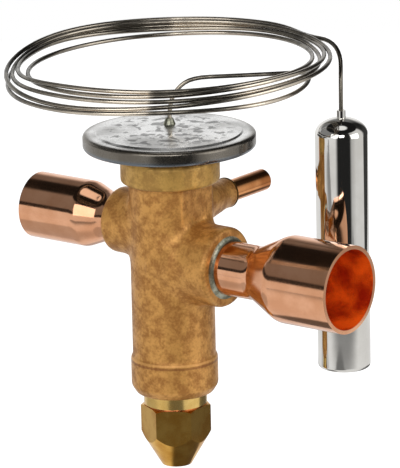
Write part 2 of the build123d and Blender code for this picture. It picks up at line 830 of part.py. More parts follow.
# ================================================================ sensing bulb
bulb_foot = bulb_side.from_local_coords((bulb_out, 0, bulb_bottom))
bulb_section = Plane(origin=bulb_foot, x_dir=(1, 0, 0), z_dir=(0, -1, 0))
bulb_axis = Axis(bulb_foot, (0, 0, 1))
with BuildPart() as sensing_bulb:
    with BuildSketch(bulb_section):
        with BuildLine():
            FilletPolyline(
                (0, 0),
                (bulb_d / 2, 0),
                (bulb_d / 2, bulb_length - bulb_shoulder),
                radius=bulb_foot_round,
            )
            EllipticalCenterArc(
                (0, bulb_length - bulb_shoulder), bulb_d / 2, bulb_shoulder, start_angle=0, arc_size=90
            )
            Line((0, bulb_length), (0, 0))
        make_face()
    revolve(axis=bulb_axis)
    # short brazed neck that the capillary enters
    with BuildSketch(Plane(origin=bulb_foot).offset(bulb_length - bulb_shoulder)):
        Circle(bulb_neck_d / 2)
    extrude(amount=bulb_shoulder + bulb_neck)
sensing_bulb.part.label = "sensing_bulb"
export_step(sensing_bulb.part, "parts/sensing_bulb.step")

# ================================================================ capillary
bulb_top = bulb_bottom + bulb_length + bulb_neck
# along the bearing of the bulb, to its left, and up
lead_route = [
    (0.0, ferrule_out, element_top + lead_foot),
    (0.0, ferrule_out, 54.2),
    (3.0, 10.0, 60.5),
    (8.5, 10.0, 64.4),
    (21.5, 10.0, 64.8),
    (38.0, 6.5, 66.0),
    (50.2, -4.0, 68.4),
]
drop_route = [
    (50.3, 27.6, 74.0),
    (57.8, 18.0, 74.8),
    (61.0, 8.0, 71.6),
    (bulb_out, 0.0, 64.5),
    (bulb_out, 0.0, bulb_top),
]


def corner_radii(points):
    """Radius at each corner: 0.45 of the shorter run, divided by the tangent of half the turn."""
    spots = [Vector(*point) for point in points]
    radii = []
    for before, corner, after in zip(spots, spots[1:], spots[2:]):
        run_in, run_out = corner - before, after - corner
        turn = radians(run_in.get_angle(run_out))
        radii.append(0.45 * min(run_in.length, run_out.length) / tan(turn / 2))
    return radii


def report_tube(name, route, part, length):
    """Prints the radii, and the volume compared with the section times the length."""
    radii = ", ".join(f"{radius:.1f}" for radius in corner_radii(route))
    expected = pi * capillary_d**2 / 4 * length
    print(f"{name}: radii {radii} mm, volume {part.volume:.2f} of {expected:.2f} mm3")


with BuildPart() as capillary_lead:
    with BuildLine(bulb_side):
        lead = FilletPolyline(*lead_route, radius=corner_radii(lead_route))
    with BuildSketch(Plane(origin=lead @ 0, z_dir=lead % 0)):
        Circle(capillary_d / 2)
    sweep(path=lead)
report_tube("capillary_lead", lead_route, capillary_lead.part, lead.length)
capillary_lead.part.label = "capillary_lead"
export_step(capillary_lead.part, "parts/capillary_lead.step")

with BuildPart() as capillary_drop:
    with BuildLine(bulb_side):
        drop = FilletPolyline(*drop_route, radius=corner_radii(drop_route))
    with BuildSketch(Plane(origin=drop @ 0, z_dir=drop % 0)):
        Circle(capillary_d / 2)
    sweep(path=drop)
report_tube("capillary_drop", drop_route, capillary_drop.part, drop.length)
capillary_drop.part.label = "capillary_drop"
export_step(capillary_drop.part, "parts/capillary_drop.step")

# the wound turns, as one ring of the bundle's outer shape
coil_centre = Vector(axis_x, 0, coil_height)
coil_up = bulb_side.z_dir.rotate(Axis((0, 0, 0), bulb_side.y_dir), -coil_lean)
coil_along = bulb_side.x_dir.rotate(Axis((0, 0, 0), bulb_side.y_dir), -coil_lean)
coil_section = Plane(origin=coil_centre, x_dir=coil_along, z_dir=coil_along.cross(coil_up))
with BuildPart() as capillary_coil:
    with BuildSketch(coil_section):
        with Locations((coil_d / 2, 0)):
            RectangleRounded(coil_bundle_width, coil_bundle_height, coil_bundle_round)
    revolve(axis=Axis(coil_centre, coil_up))
capillary_coil.part.label = "capillary_coil"
export_step(capillary_coil.part, "parts/capillary_coil.step")
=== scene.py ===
"""Looks of a refrigerant expansion valve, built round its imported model.

Each sub-assembly is a class that holds its sizes, makes its meshes and dresses them.
Each finish is a small frozen dataclass that makes one material. Lengths are metres and
angles are radians, unless a comment gives another unit.
"""

import logging
import math
from dataclasses import dataclass
from enum import Enum

import bmesh
import bpy
import numpy as np
from mathutils import Matrix, Vector


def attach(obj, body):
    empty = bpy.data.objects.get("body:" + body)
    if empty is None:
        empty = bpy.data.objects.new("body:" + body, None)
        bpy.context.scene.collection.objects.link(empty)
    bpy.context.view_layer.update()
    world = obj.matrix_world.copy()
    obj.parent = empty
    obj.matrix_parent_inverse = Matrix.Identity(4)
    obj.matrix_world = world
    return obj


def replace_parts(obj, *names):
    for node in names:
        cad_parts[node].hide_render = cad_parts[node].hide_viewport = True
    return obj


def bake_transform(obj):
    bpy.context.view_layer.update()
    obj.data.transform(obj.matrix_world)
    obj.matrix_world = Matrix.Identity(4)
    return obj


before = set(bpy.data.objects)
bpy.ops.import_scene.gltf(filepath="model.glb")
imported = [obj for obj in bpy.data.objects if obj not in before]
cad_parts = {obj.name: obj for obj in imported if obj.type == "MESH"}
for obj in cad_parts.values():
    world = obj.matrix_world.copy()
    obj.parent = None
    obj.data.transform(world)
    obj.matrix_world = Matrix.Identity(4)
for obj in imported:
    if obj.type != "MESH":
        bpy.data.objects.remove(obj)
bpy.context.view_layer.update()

logging.basicConfig(level=logging.INFO, format="%(message)s")
log = logging.getLogger("valve")

MM = 0.001
AXIS_X = -78 * MM  # the valve's upright axis
INLET_HEIGHT = 11.1 * MM
EQUALIZER_HEIGHT = 16.8 * MM
STEP_HEIGHT = -36.4 * MM  # the top of the body's bottom collar
BULB_BEARING = math.radians(36.87)  # from the outlet's direction to the bulb
BULB_REACH = 61.3  # from the valve's axis to the bulb's, in millimetres
SAME_POINT = 0.001 * MM  # vertices closer than this are merged

Colour = tuple[float, float, float]
Rgba = tuple[float, float, float, float]
Point = tuple[float, float, float]
Socket = bpy.types.NodeSocket
Sockets = bpy.types.bpy_prop_collection
Value = float | tuple | Socket  # what a node's input is given


class Body(Enum):
    """The moving bodies that the scene's own pieces ride on."""

    VALVE = "valve"
    LIFT = "lift_train"
    LOWER_SEAT = "lower_spring_seat"


class Slot(Enum):
    """The record's material slots, by name."""

    FORGED_BRASS = "forged_brass"
    TURNED_BRASS = "turned_brass"
    SPRING = "spring_steel"
    CAPILLARY = "capillary_steel"


class Run(Enum):
    """The axis that a turned or drawn piece runs along, as the turn that brings it to X."""

    X = (0.0, 0.0, 0.0)
    Y = (0.0, 0.0, -math.pi / 2)
    Z = (0.0, math.pi / 2, 0.0)


class Kind(Enum):
    """What a socket of a node group carries."""

    FLOAT = "NodeSocketFloat"
    VECTOR = "NodeSocketVector"
    COLOUR = "NodeSocketColor"
    GEOMETRY = "NodeSocketGeometry"
    MATERIAL = "NodeSocketMaterial"


def from_bulb_side(point: Point) -> Vector:
    """Turns a point of the frame that faces the bulb into the row frame.

    Args:
        point: millimetres towards the bulb, to its left, and up.

    Returns:
        The same point in the row frame, in metres.
    """
    along, left, up = point
    c, s = math.cos(BULB_BEARING), math.sin(BULB_BEARING)
    return Vector((AXIS_X + (along * c - left * s) * MM, (along * s + left * c) * MM, up * MM))


def rgba(colour: Colour) -> Rgba:
    """Adds an alpha of one to a colour."""
    return (*colour, 1.0)


def grey(level: float) -> Rgba:
    """A neutral colour of one level."""
    return (level, level, level, 1.0)


# ---------------------------------------------------------------- shader building blocks
class Tree:
    """A node tree with short ways to add nodes and join them."""

    def __init__(self, tree: bpy.types.NodeTree) -> None:
        """Empties the tree and holds it."""
        self.tree = tree
        tree.nodes.clear()

    def feed(self, socket: Socket, value: Value) -> None:
        """Gives an input its value.

        Args:
            socket: the input.
            value: an output to join it to, or what to set it to.
        """
        if isinstance(value, Socket):
            self.tree.links.new(value, socket)
        else:
            socket.default_value = value

    def add(self, kind: str, values: dict | None = None, **settings: object) -> bpy.types.Node:
        """Adds a node.

        Args:
            kind: the node's type.
            values: what feeds its inputs, by their name or number.
            settings: properties of the node, set before its inputs.

        Returns:
            The new node.
        """
        node = self.tree.nodes.new(kind)
        for name, setting in settings.items():
            setattr(node, name, setting)
        for key, value in (values or {}).items():
            self.feed(node.inputs[key], value)
        return node

    def maths(
        self, operation: str, a: Value, b: Value = 0.0, c: Value = 0.0, clamp: bool = False
    ) -> Socket:
        """Adds a Math node and returns its output."""
        values = {0: a, 1: b, 2: c}
        return self.add("ShaderNodeMath", values, operation=operation, use_clamp=clamp).outputs[0]

    def vector(self, operation: str, a: Value, b: Value = (0.0, 0.0, 0.0)) -> Socket:
        """Adds a Vector Math node.

        Args:
            operation: what it works out.
            a: the first vector.
            b: the second vector, where it has one.

        Returns:
            Its vector, or its number where it works out one.
        """
        node = self.add("ShaderNodeVectorMath", {0: a, 1: b}, operation=operation)
        number = operation in ("LENGTH", "DISTANCE", "DOT_PRODUCT")
        return node.outputs["Value" if number else "Vector"]

    def noise(self, place: Socket, scale: Value, detail: float, distortion: float = 0.0) -> Socket:
        """Adds noise in three dimensions and returns its level."""
        values = {"Vector": place, "Scale": scale, "Detail": detail, "Distortion": distortion}
        return self.add("ShaderNodeTexNoise", values).outputs[0]

    def blend(self, factor: Value, a: Value, b: Value) -> Socket:
        """Mixes two colours, from a to b, and returns the result."""
        values = {0: factor, 6: a, 7: b}
        return self.add("ShaderNodeMix", values, data_type="RGBA", clamp_factor=True).outputs[2]

    def ramp(self, value: Socket, low: float, high: float) -> Socket:
        """Maps a value from low..high to 0..1, smoothly, and returns it."""
        values = {0: value, 1: low, 2: high}
        return self.add("ShaderNodeMapRange", values, interpolation_type="SMOOTHSTEP").outputs[0]

    def by_turn(self, turn: Socket, stations: tuple[tuple[float, float], ...]) -> Socket:
        """A level that changes with an angle.

        Args:
            turn: the angle, from -pi to pi.
            stations: degrees from -180 to 180, rising, and the level at each.

        Returns:
            The level, in straight steps between the stations.
        """
        share = self.maths("MULTIPLY_ADD", turn, 0.5 / math.pi, 0.5)
        ramp = self.add("ShaderNodeValToRGB", {0: share})
        stops = ramp.color_ramp.elements
        stops[0].position, stops[1].position = 0.0, 1.0
        for degrees, level in stations:
            place = (degrees + 180.0) / 360.0
            stop = stops.new(place) if 0.0 < place < 1.0 else stops[-1 if place else 0]
            stop.color = grey(level)
        return ramp.outputs[0]

    def spot(self) -> Socket:
        """The Object coordinates, which are places in the row frame."""
        return self.add("ShaderNodeTexCoord").outputs["Object"]

    def height(self) -> Socket:
        """The height in the row frame."""
        return self.add("ShaderNodeSeparateXYZ", {0: self.spot()}).outputs[2]

    def off_axis(self, place: Socket) -> Socket:
        """The part of a placed vector that lies square to the piece's X axis."""
        return self.vector("MULTIPLY", place, (0.0, 1.0, 1.0))


def start_group(
    name: str,
    takes: dict[str, tuple[Kind, Value | None]],
    gives: dict[str, Kind],
    tree_type: str = "ShaderNodeTree",
) -> tuple[Tree, Sockets, Sockets]:
    """Makes an empty node group.

    Args:
        name: the group's name.
        takes: the kind and default of each input, by name.
        gives: the kind of each output, by name.
        tree_type: the type of its tree.

    Returns:
        The group's tree, what it is given and where it puts what it gives.
    """
    group = bpy.data.node_groups.new(name, tree_type)
    for label, (kind, default) in takes.items():
        socket = group.interface.new_socket(label, in_out="INPUT", socket_type=kind.value)
        if default is not None:
            socket.default_value = default
    for label, kind in gives.items():
        group.interface.new_socket(label, in_out="OUTPUT", socket_type=kind.value)
    tree = Tree(group)
    return tree, tree.add("NodeGroupInput").outputs, tree.add("NodeGroupOutput").inputs


class Effects:
    """Shader node groups that the finishes share, each built once."""

    NOISE_MIDDLE: float = 0.5
    CLOUD_BAND: tuple[float, float] = (0.32, 0.68)  # the noise levels between which a cloud fades
    SPECK_GAIN: float = 3.0
    FACING_BAND: tuple[float, float] = (0.2, 0.5)  # how squarely a bore's wall faces the axis

    def __init__(self) -> None:
        """Builds the groups."""
        self.mottle = self.build_mottle()
        self.relief = self.build_relief()
        self.bore_side = self.build_bore_side()
        self.lathe_marks = self.build_lathe_marks()

    def build_mottle(self) -> bpy.types.NodeTree:
        """Builds two colours in soft clouds with fine specks, and the mask that mixes them.

        Returns:
            The group.
        """
        takes = {
            "Vector": (Kind.VECTOR, None),
            "Cloud Scale": (Kind.FLOAT, 120.0),
            "Speck Scale": (Kind.FLOAT, 1500.0),
            "Specks": (Kind.FLOAT, 0.35),
            "Dark": (Kind.COLOUR, grey(0.3)),
            "Light": (Kind.COLOUR, grey(0.6)),
        }
        gives = {"Color": Kind.COLOUR, "Mask": Kind.FLOAT}
        tree, given, out = start_group("metal_mottle", takes, gives)
        clouds = tree.noise(given["Vector"], given["Cloud Scale"], detail=5.0)
        specks = tree.noise(given["Vector"], given["Speck Scale"], detail=2.0)
        fine = tree.maths("SUBTRACT", specks, self.NOISE_MIDDLE)
        fine = tree.maths("MULTIPLY", fine, given["Specks"])
        fine = tree.maths("MULTIPLY", fine, self.SPECK_GAIN)
        mask = tree.maths("ADD", tree.ramp(clouds, *self.CLOUD_BAND), fine, clamp=True)
        tree.feed(out["Mask"], mask)
        tree.feed(out["Color"], tree.blend(mask, given["Dark"], given["Light"]))
        return tree.tree

    def build_relief(self) -> bpy.types.NodeTree:
        """Builds fine grain, with broad unevenness under it, as a surface normal.

        Returns:
            The group.
        """
        takes = {
            "Vector": (Kind.VECTOR, None),
            "Grain Scale": (Kind.FLOAT, 1800.0),
            "Broad Scale": (Kind.FLOAT, 200.0),
            "Broad Share": (Kind.FLOAT, 0.5),
            "Strength": (Kind.FLOAT, 0.3),
            "Depth": (Kind.FLOAT, 0.1 * MM),
        }
        tree, given, out = start_group("metal_relief", takes, {"Normal": Kind.VECTOR})
        grain = tree.noise(given["Vector"], given["Grain Scale"], detail=3.0)
        broad = tree.noise(given["Vector"], given["Broad Scale"], detail=4.0)
        mixed = {0: given["Broad Share"], 2: grain, 3: broad}
        height = tree.add("ShaderNodeMix", mixed, data_type="FLOAT").outputs[0]
        values = {"Strength": given["Strength"], "Distance": given["Depth"], "Height": height}
        tree.feed(out["Normal"], tree.add("ShaderNodeBump", values).outputs[0])
        return tree.tree

    def build_bore_side(self) -> bpy.types.NodeTree:
        """Builds a mask: one on a wall that faces the X axis, nought on one that faces away.

        Returns:
            The group.
        """
        takes = {"Vector": (Kind.VECTOR, None), "Facing": (Kind.VECTOR, None)}
        tree, given, out = start_group("bore_side", takes, {"Mask": Kind.FLOAT})
        outward = tree.vector("NORMALIZE", tree.off_axis(given["Vector"]))
        facing = tree.vector("DOT_PRODUCT", outward, given["Facing"])
        inward = tree.maths("MULTIPLY", facing, -1.0)
        tree.feed(out["Mask"], tree.ramp(inward, *self.FACING_BAND))
        return tree.tree

    def build_lathe_marks(self) -> bpy.types.NodeTree:
        """Builds the height of the fine rings that a tool leaves round the X axis.

        Returns:
            The group.
        """
        takes = {"Vector": (Kind.VECTOR, None), "Pitch": (Kind.FLOAT, 0.25 * MM)}
        tree, given, out = start_group("lathe_marks", takes, {"Height": Kind.FLOAT})
        along = tree.add("ShaderNodeSeparateXYZ", {0: given["Vector"]}).outputs[0]
        radius = tree.vector("LENGTH", tree.off_axis(given["Vector"]))
        # a tool's path is measured along the piece and out from its axis together
        turns = tree.maths("DIVIDE", tree.maths("ADD", along, radius), given["Pitch"])
        values = {"W": turns, "Scale": 1.0, "Detail": 3.0}
        rings = tree.add("ShaderNodeTexNoise", values, noise_dimensions="1D")
        tree.feed(out["Height"], rings.outputs[0])
        return tree.tree


# ---------------------------------------------------------------- finishes
@dataclass
class Skin:
    """A surface in the making: its tree, the shared effects, and what colours it so far."""

    tree: Tree
    effects: Effects
    place: Socket  # Object coordinates with X along the piece, through its centre
    colour: Socket  # the finish's two shades in clouds
    clouds: Socket  # the mask that mixes them


@dataclass(frozen=True)
class Finish:
    """A metal or rubber finish: two shades, gloss and relief, on Object coordinates."""

    name: str
    dark: Colour
    light: Colour
    metallic: float = 1.0
    rough_low: float = 0.2
    rough_high: float = 0.35
    cloud_scale: float = 120.0
    speck_scale: float = 1500.0
    specks: float = 0.3
    grain_scale: float = 1800.0
    broad_scale: float = 200.0
    broad_share: float = 0.5
    strength: float = 0.25
    depth: float = 0.1 * MM
    centre: Point = (AXIS_X, 0.0, 0.0)
    run: Run = Run.Z

    def place(self, tree: Tree) -> Socket:
        """Puts the pattern's X axis along the piece, through its centre."""
        moved = tree.vector("SUBTRACT", tree.spot(), self.centre)
        return tree.add("ShaderNodeMapping", {"Vector": moved, "Rotation": self.run.value}).outputs[0]

    def tint(self, skin: Skin) -> Socket:
        """The colour from place to place; a plain finish leaves it as it is."""
        return skin.colour

    def gloss(self, skin: Skin) -> Socket:
        """The roughness, which follows the clouds of the colour."""
        values = {0: skin.clouds, 3: self.rough_high, 4: self.rough_low}
        return skin.tree.add("ShaderNodeMapRange", values).outputs[0]

    def metal(self, skin: Skin) -> Value:
        """How metallic the surface is; a plain finish is so by one measure all over."""
        return self.metallic

    def surface(self, skin: Skin) -> Socket:
        """The relief of the finish.

        Args:
            skin: the surface in the making.

        Returns:
            Its normal.
        """
        values = {
            "Vector": skin.place,
            "Grain Scale": self.grain_scale,
            "Broad Scale": self.broad_scale,
            "Broad Share": self.broad_share,
            "Strength": self.strength,
            "Depth": self.depth,
        }
        relief = skin.tree.add("ShaderNodeGroup", values, node_tree=skin.effects.relief)
        return relief.outputs["Normal"]

    def material(self, effects: Effects) -> bpy.types.Material:
        """Makes the material.

        Args:
            effects: the shared node groups.

        Returns:
            The material, with a Principled shader.
        """
        material = bpy.data.materials.new(self.name)
        material.use_nodes = True
        tree = Tree(material.node_tree)
        place = self.place(tree)
        values = {
            "Vector": place,
            "Cloud Scale": self.cloud_scale,
            "Speck Scale": self.speck_scale,
            "Specks": self.specks,
            "Dark": rgba(self.dark),
            "Light": rgba(self.light),
        }
        mottle = tree.add("ShaderNodeGroup", values, node_tree=effects.mottle).outputs
        skin = Skin(tree, effects, place, mottle["Color"], mottle["Mask"])
        looks = {
            "Base Color": self.tint(skin),
            "Metallic": self.metal(skin),
            "Roughness": self.gloss(skin),
            "Normal": self.surface(skin),
        }
        shader = tree.add("ShaderNodeBsdfPrincipled", looks)
        tree.add("ShaderNodeOutputMaterial", {"Surface": shader.outputs[0]})
        return material


@dataclass(frozen=True)
class ForgedBrass(Finish):
    """Half-matt forged brass; the top collar is a little yellower than the rest, and the step of the
    bottom collar has a painted highlight and a painted shadow.
    """

    collar_dark: Colour = (0.40, 0.22, 0.05)
    collar_light: Colour = (0.60, 0.35, 0.085)
    collar_from: float = 28.4 * MM
    collar_blur: float = 0.3 * MM
    # a painted highlight along the edge of the bottom collar's step and a painted shadow at its root:
    # height, half width, colour
    painted_step_light: tuple[tuple[float, float, Colour], ...] = (
        (STEP_HEIGHT, 0.55 * MM, (0.80, 0.42, 0.13)),
        (STEP_HEIGHT - 1.1 * MM, 0.6 * MM, (0.20, 0.06, 0.01)),
    )
    line_core: float = 0.4  # the share of a line's width that is not faded
    line_strength: float = 0.6

    def tint(self, skin: Skin) -> Socket:
        """Yellows the top collar, and paints a highlight on the edge of the bottom collar's step and a
        shadow at its root.

        Args:
            skin: the surface in the making.

        Returns:
            Its colour.
        """
        tree = skin.tree
        height = tree.height()
        blur = self.collar_blur
        collar = tree.ramp(height, self.collar_from - blur, self.collar_from + blur)
        yellow = tree.blend(skin.clouds, rgba(self.collar_dark), rgba(self.collar_light))
        colour = tree.blend(collar, skin.colour, yellow)
        # paint the step's highlight and its shadow
        for level, width, shade in self.painted_step_light:
            gap = tree.maths("ABSOLUTE", tree.maths("SUBTRACT", height, level))
            line = tree.ramp(gap, width, self.line_core * width)
            colour = tree.blend(tree.maths("MULTIPLY", line, self.line_strength), colour, rgba(shade))
        return colour


@dataclass(frozen=True)
class TurnedMetal(Finish):
    """Metal with fine tool marks round its axis."""

    pitch: float = 0.22 * MM
    mark_strength: float = 0.12
    mark_depth: float = 0.05 * MM

    def surface(self, skin: Skin) -> Socket:
        """The relief, with tool marks over it.

        Args:
            skin: the surface in the making.

        Returns:
            Its normal.
        """
        wound = {"Vector": skin.place, "Pitch": self.pitch}
        marks = skin.tree.add("ShaderNodeGroup", wound, node_tree=skin.effects.lathe_marks)
        values = {
            "Strength": self.mark_strength,
            "Distance": self.mark_depth,
            "Height": marks.outputs["Height"],
            "Normal": super().surface(skin),
        }
        return skin.tree.add("ShaderNodeBump", values).outputs[0]


@dataclass(frozen=True)
class DrawnCopper(Finish):
    """Polished copper tube, duller inside its bore, where a painted deep red stands in for the warm light
    that bounces round inside it.
    """

    # the painted red of the light that bounces round inside the bore
    painted_bounce_dark: Colour = (0.30, 0.008, 0.001)
    painted_bounce_light: Colour = (1.0, 0.13, 0.008)
    bore_metal: float = 0.2  # how metallic the bore is, under its painted red
    bore_dulling: float = 0.16  # how much rougher than the outside it is

    def bore(self, skin: Skin) -> Socket:
        """Tells the bore from the outside.

        Args:
            skin: the surface in the making.

        Returns:
            The mask of the walls that face the tube's axis.
        """
        normal = skin.tree.add("ShaderNodeNewGeometry").outputs["Normal"]
        turned = {"Vector": normal, "Rotation": self.run.value}
        facing = skin.tree.add("ShaderNodeMapping", turned).outputs[0]
        values = {"Vector": skin.place, "Facing": facing}
        return skin.tree.add("ShaderNodeGroup", values, node_tree=skin.effects.bore_side).outputs["Mask"]

    def tint(self, skin: Skin) -> Socket:
        """Paints the bore deep red, a painted reflection of the warm light that bounces round inside it.
        """
        red = skin.tree.blend(skin.clouds, rgba(self.painted_bounce_dark), rgba(self.painted_bounce_light))
        return skin.tree.blend(self.bore(skin), skin.colour, red)

    def gloss(self, skin: Skin) -> Socket:
        """The roughness, higher in the bore."""
        dulling = skin.tree.maths("MULTIPLY", self.bore(skin), self.bore_dulling)
        return skin.tree.maths("ADD", super().gloss(skin), dulling)

    def metal(self, skin: Skin) -> Value:
        """How metallic it is: less in the bore, under the red painted there for the light that bounces
        round inside.
        """
        return skin.tree.maths("MULTIPLY_ADD", self.bore(skin), self.bore_metal - 1.0, 1.0)


@dataclass(frozen=True)
class BrushedLid(TurnedMetal):
    """Stainless steel, brushed in rings, with dark patches on top and heat colours on its welded rim."""

    straw: Colour = (0.085, 0.065, 0.038)
    blue: Colour = (0.085, 0.115, 0.15)
    rim: tuple[float, float] = (28.0 * MM, 30.6 * MM)  # radii between which the heat colours rise
    heat_strength: float = 0.85
    blue_below: float = 42.4 * MM
    blue_blur: float = 0.8 * MM
    dark_patch: Colour = (0.03, 0.028, 0.025)
    dark_patch_scale: float = 260.0
    dark_patch_band: tuple[float, float] = (0.50, 0.58)  # the noise levels between which a dark patch fades
    dark_patch_radii: tuple[float, float] = (25.5 * MM, 20.0 * MM)  # radii between which the dark patches rise, inwards
    dark_patch_strength: float = 0.8

    def tint(self, skin: Skin) -> Socket:
        """Adds dark patches to the top, more of them towards its middle, and the weld's heat colours on
        the rim.

        Args:
            skin: the surface in the making.

        Returns:
            Its colour.
        """
        tree = skin.tree
        radius = tree.vector("LENGTH", tree.off_axis(skin.place))
        # dark patches, thicker towards the middle of the top
        patches = tree.noise(tree.spot(), self.dark_patch_scale, detail=6.0, distortion=0.6)
        patches = tree.ramp(patches, *self.dark_patch_band)
        darkened = tree.maths("MULTIPLY", patches, tree.ramp(radius, *self.dark_patch_radii))
        darkened = tree.maths("MULTIPLY", darkened, self.dark_patch_strength)
        colour = tree.blend(darkened, skin.colour, rgba(self.dark_patch))
        blur = self.blue_blur
        low = tree.ramp(tree.height(), self.blue_below + blur, self.blue_below - blur)
        heat = tree.blend(low, rgba(self.straw), rgba(self.blue))
        welded = tree.maths("MULTIPLY", tree.ramp(radius, *self.rim), self.heat_strength)
        return tree.blend(welded, colour, heat)


@dataclass(frozen=True)
class CapillaryTube(Finish):
    """Drawn steel tube, with paler stretches round the coil that are a painted sheen of the light that it
    reflects.
    """

    # the colour of the painted sheen
    pale: Colour = (0.80, 0.71, 0.585)
    # how much the painted sheen pales the turns, by degrees round the valve's axis from the bulb
    painted_sheen_by_turn: tuple[tuple[float, float], ...] = (
        (-180.0, 0.0), (-150.0, 0.1), (-130.0, 0.45), (-122.0, 0.95), (-97.0, 0.95), (-95.0, 0.08),
        (-66.0, 0.08), (-58.0, 0.9), (-34.0, 0.7), (-22.0, 0.12), (25.0, 0.08), (50.0, 0.2),
        (61.0, 0.8), (87.0, 0.8), (91.0, 0.2), (112.0, 0.25), (122.0, 0.5), (140.0, 0.3),
        (155.0, 0.0), (180.0, 0.0),
    )

    def tint(self, skin: Skin) -> Socket:
        """Paints a sheen on the turns, as paler stretches that stand in for the light they reflect.

        Args:
            skin: the surface in the making.

        Returns:
            Its colour.
        """
        tree = skin.tree
        c, s = math.cos(BULB_BEARING), math.sin(BULB_BEARING)
        moved = tree.vector("SUBTRACT", tree.spot(), self.centre)
        along = tree.vector("DOT_PRODUCT", moved, (c, s, 0.0))
        left = tree.vector("DOT_PRODUCT", moved, (-s, c, 0.0))
        share = tree.by_turn(tree.maths("ARCTAN2", left, along), self.painted_sheen_by_turn)
        return tree.blend(share, skin.colour, rgba(self.pale))


class Finishes:
    """Every finish of the valve, each made once."""

    def __init__(self) -> None:
        """Makes the materials."""
        effects = Effects()
        drawn = {"rough_low": 0.08, "rough_high": 0.14, "cloud_scale": 90.0, "specks": 0.15}
        drawn |= {"broad_scale": 120.0, "broad_share": 0.8, "depth": 0.06 * MM}
        wide = drawn | {"dark": (0.72, 0.35, 0.19), "light": (0.84, 0.45, 0.27), "run": Run.X}
        thin = drawn | {"dark": (0.46, 0.16, 0.045), "light": (0.76, 0.33, 0.12), "run": Run.Y}
        turned = {"cloud_scale": 150.0, "specks": 0.15, "broad_share": 0.8, "depth": 0.05 * MM}
        self.body = ForgedBrass(
            "forged_brass_grain", (0.39, 0.165, 0.032), (0.66, 0.33, 0.082), metallic=0.4,
            rough_low=0.36, rough_high=0.5, cloud_scale=260.0, speck_scale=1100.0, specks=0.6,
            grain_scale=1300.0, broad_scale=380.0, strength=0.75, depth=0.3 * MM,
        ).material(effects)
        self.turned_brass = TurnedMetal(
            "turned_brass_marks", (0.66, 0.42, 0.12), (0.80, 0.55, 0.19),
            rough_low=0.12, rough_high=0.22, **turned,
        ).material(effects)
        self.cap_brass = TurnedMetal(
            "cap_brass", (0.55, 0.27, 0.045), (0.76, 0.45, 0.105),
            rough_low=0.09, rough_high=0.16, mark_strength=0.05, **turned,
        ).material(effects)
        self.outlet_copper = DrawnCopper(
            "outlet_copper", centre=(0.0, 0.0, 0.0), **wide
        ).material(effects)
        self.inlet_copper = DrawnCopper(
            "inlet_copper", centre=(0.0, 0.0, INLET_HEIGHT), **wide
        ).material(effects)
        self.equalizer_copper = DrawnCopper(
            "equalizer_copper", centre=(AXIS_X, 0.0, EQUALIZER_HEIGHT), **thin
        ).material(effects)
        self.seal_copper = TurnedMetal(
            "copper_washer", (0.70, 0.34, 0.20), (0.82, 0.44, 0.29), rough_high=0.3
        ).material(effects)
        self.solder = Finish(
            "brazed_joint", (0.20, 0.20, 0.14), (0.42, 0.42, 0.33), rough_low=0.3, rough_high=0.45,
            cloud_scale=500.0, specks=0.5, broad_scale=700.0, broad_share=0.7, strength=0.5,
            depth=0.2 * MM,
        ).material(effects)
        self.stainless = BrushedLid(
            "brushed_stainless", (0.62, 0.615, 0.60), (0.84, 0.84, 0.83), rough_high=0.34,
            cloud_scale=70.0, specks=0.5, broad_scale=60.0, broad_share=0.9, strength=0.3,
            depth=0.3 * MM, pitch=0.35 * MM, mark_strength=0.25,
        ).material(effects)
        self.ground_steel = TurnedMetal(
            "ground_steel", (0.50, 0.50, 0.49), (0.66, 0.66, 0.65), rough_low=0.16, rough_high=0.26
        ).material(effects)
        self.spring_wire = Finish(
            "drawn_spring_wire", (0.30, 0.30, 0.31), (0.48, 0.48, 0.49), rough_low=0.22, rough_high=0.34
        ).material(effects)
        self.plate = Finish(
            "bright_plate", (0.66, 0.64, 0.60), (0.76, 0.745, 0.71), rough_low=0.035, rough_high=0.075,
            cloud_scale=60.0, specks=0.1, broad_scale=90.0, broad_share=1.0, strength=0.12,
            depth=0.15 * MM, centre=tuple(from_bulb_side((BULB_REACH, 0.0, 0.0))),
        ).material(effects)
        self.capillary = CapillaryTube(
            "capillary_tube", (0.04, 0.037, 0.03), (0.15, 0.137, 0.112), rough_low=0.16,
            rough_high=0.26, cloud_scale=220.0, specks=0.25, broad_share=0.8, depth=0.08 * MM,
        ).material(effects)
        self.rubber = Finish(
            "moulded_rubber", (0.012, 0.012, 0.012), (0.03, 0.03, 0.03), metallic=0.0,
            rough_low=0.5, rough_high=0.65, grain_scale=2500.0,
        ).material(effects)


# ---------------------------------------------------------------- shared by the sub-assemblies
def dress(material: bpy.types.Material, *nodes: str) -> None:
    """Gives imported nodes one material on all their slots.

    Args:
        material: the material.
        nodes: the nodes' names.
    """
    for node in nodes:
        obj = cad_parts[node]
        if not obj.material_slots:
            obj.data.materials.append(material)
        for holder in obj.material_slots:
            holder.material = material
        log.info("dressed %s with %s", node, material.name)


def put(name: str, data: bpy.types.ID) -> bpy.types.Object:
    """Puts data in the scene as a new object.

    Args:
        name: the object's name.
        data: its mesh, curve, lamp or camera.

    Returns:
        The new object.
    """
    obj = bpy.data.objects.new(name, data)
    bpy.context.scene.collection.objects.link(obj)
    return obj


def merged_copy(node: str) -> bpy.types.Mesh:
    """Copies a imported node's mesh and merges its doubles.

    Args:
        node: the node's name.

    Returns:
        The copy.
    """
    shape = bmesh.new()
    shape.from_mesh(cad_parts[node].data)
    bmesh.ops.remove_doubles(shape, verts=shape.verts, dist=SAME_POINT)
    mesh = bpy.data.meshes.new(f"{node}_copy")
    shape.to_mesh(mesh)
    shape.free()
    return mesh


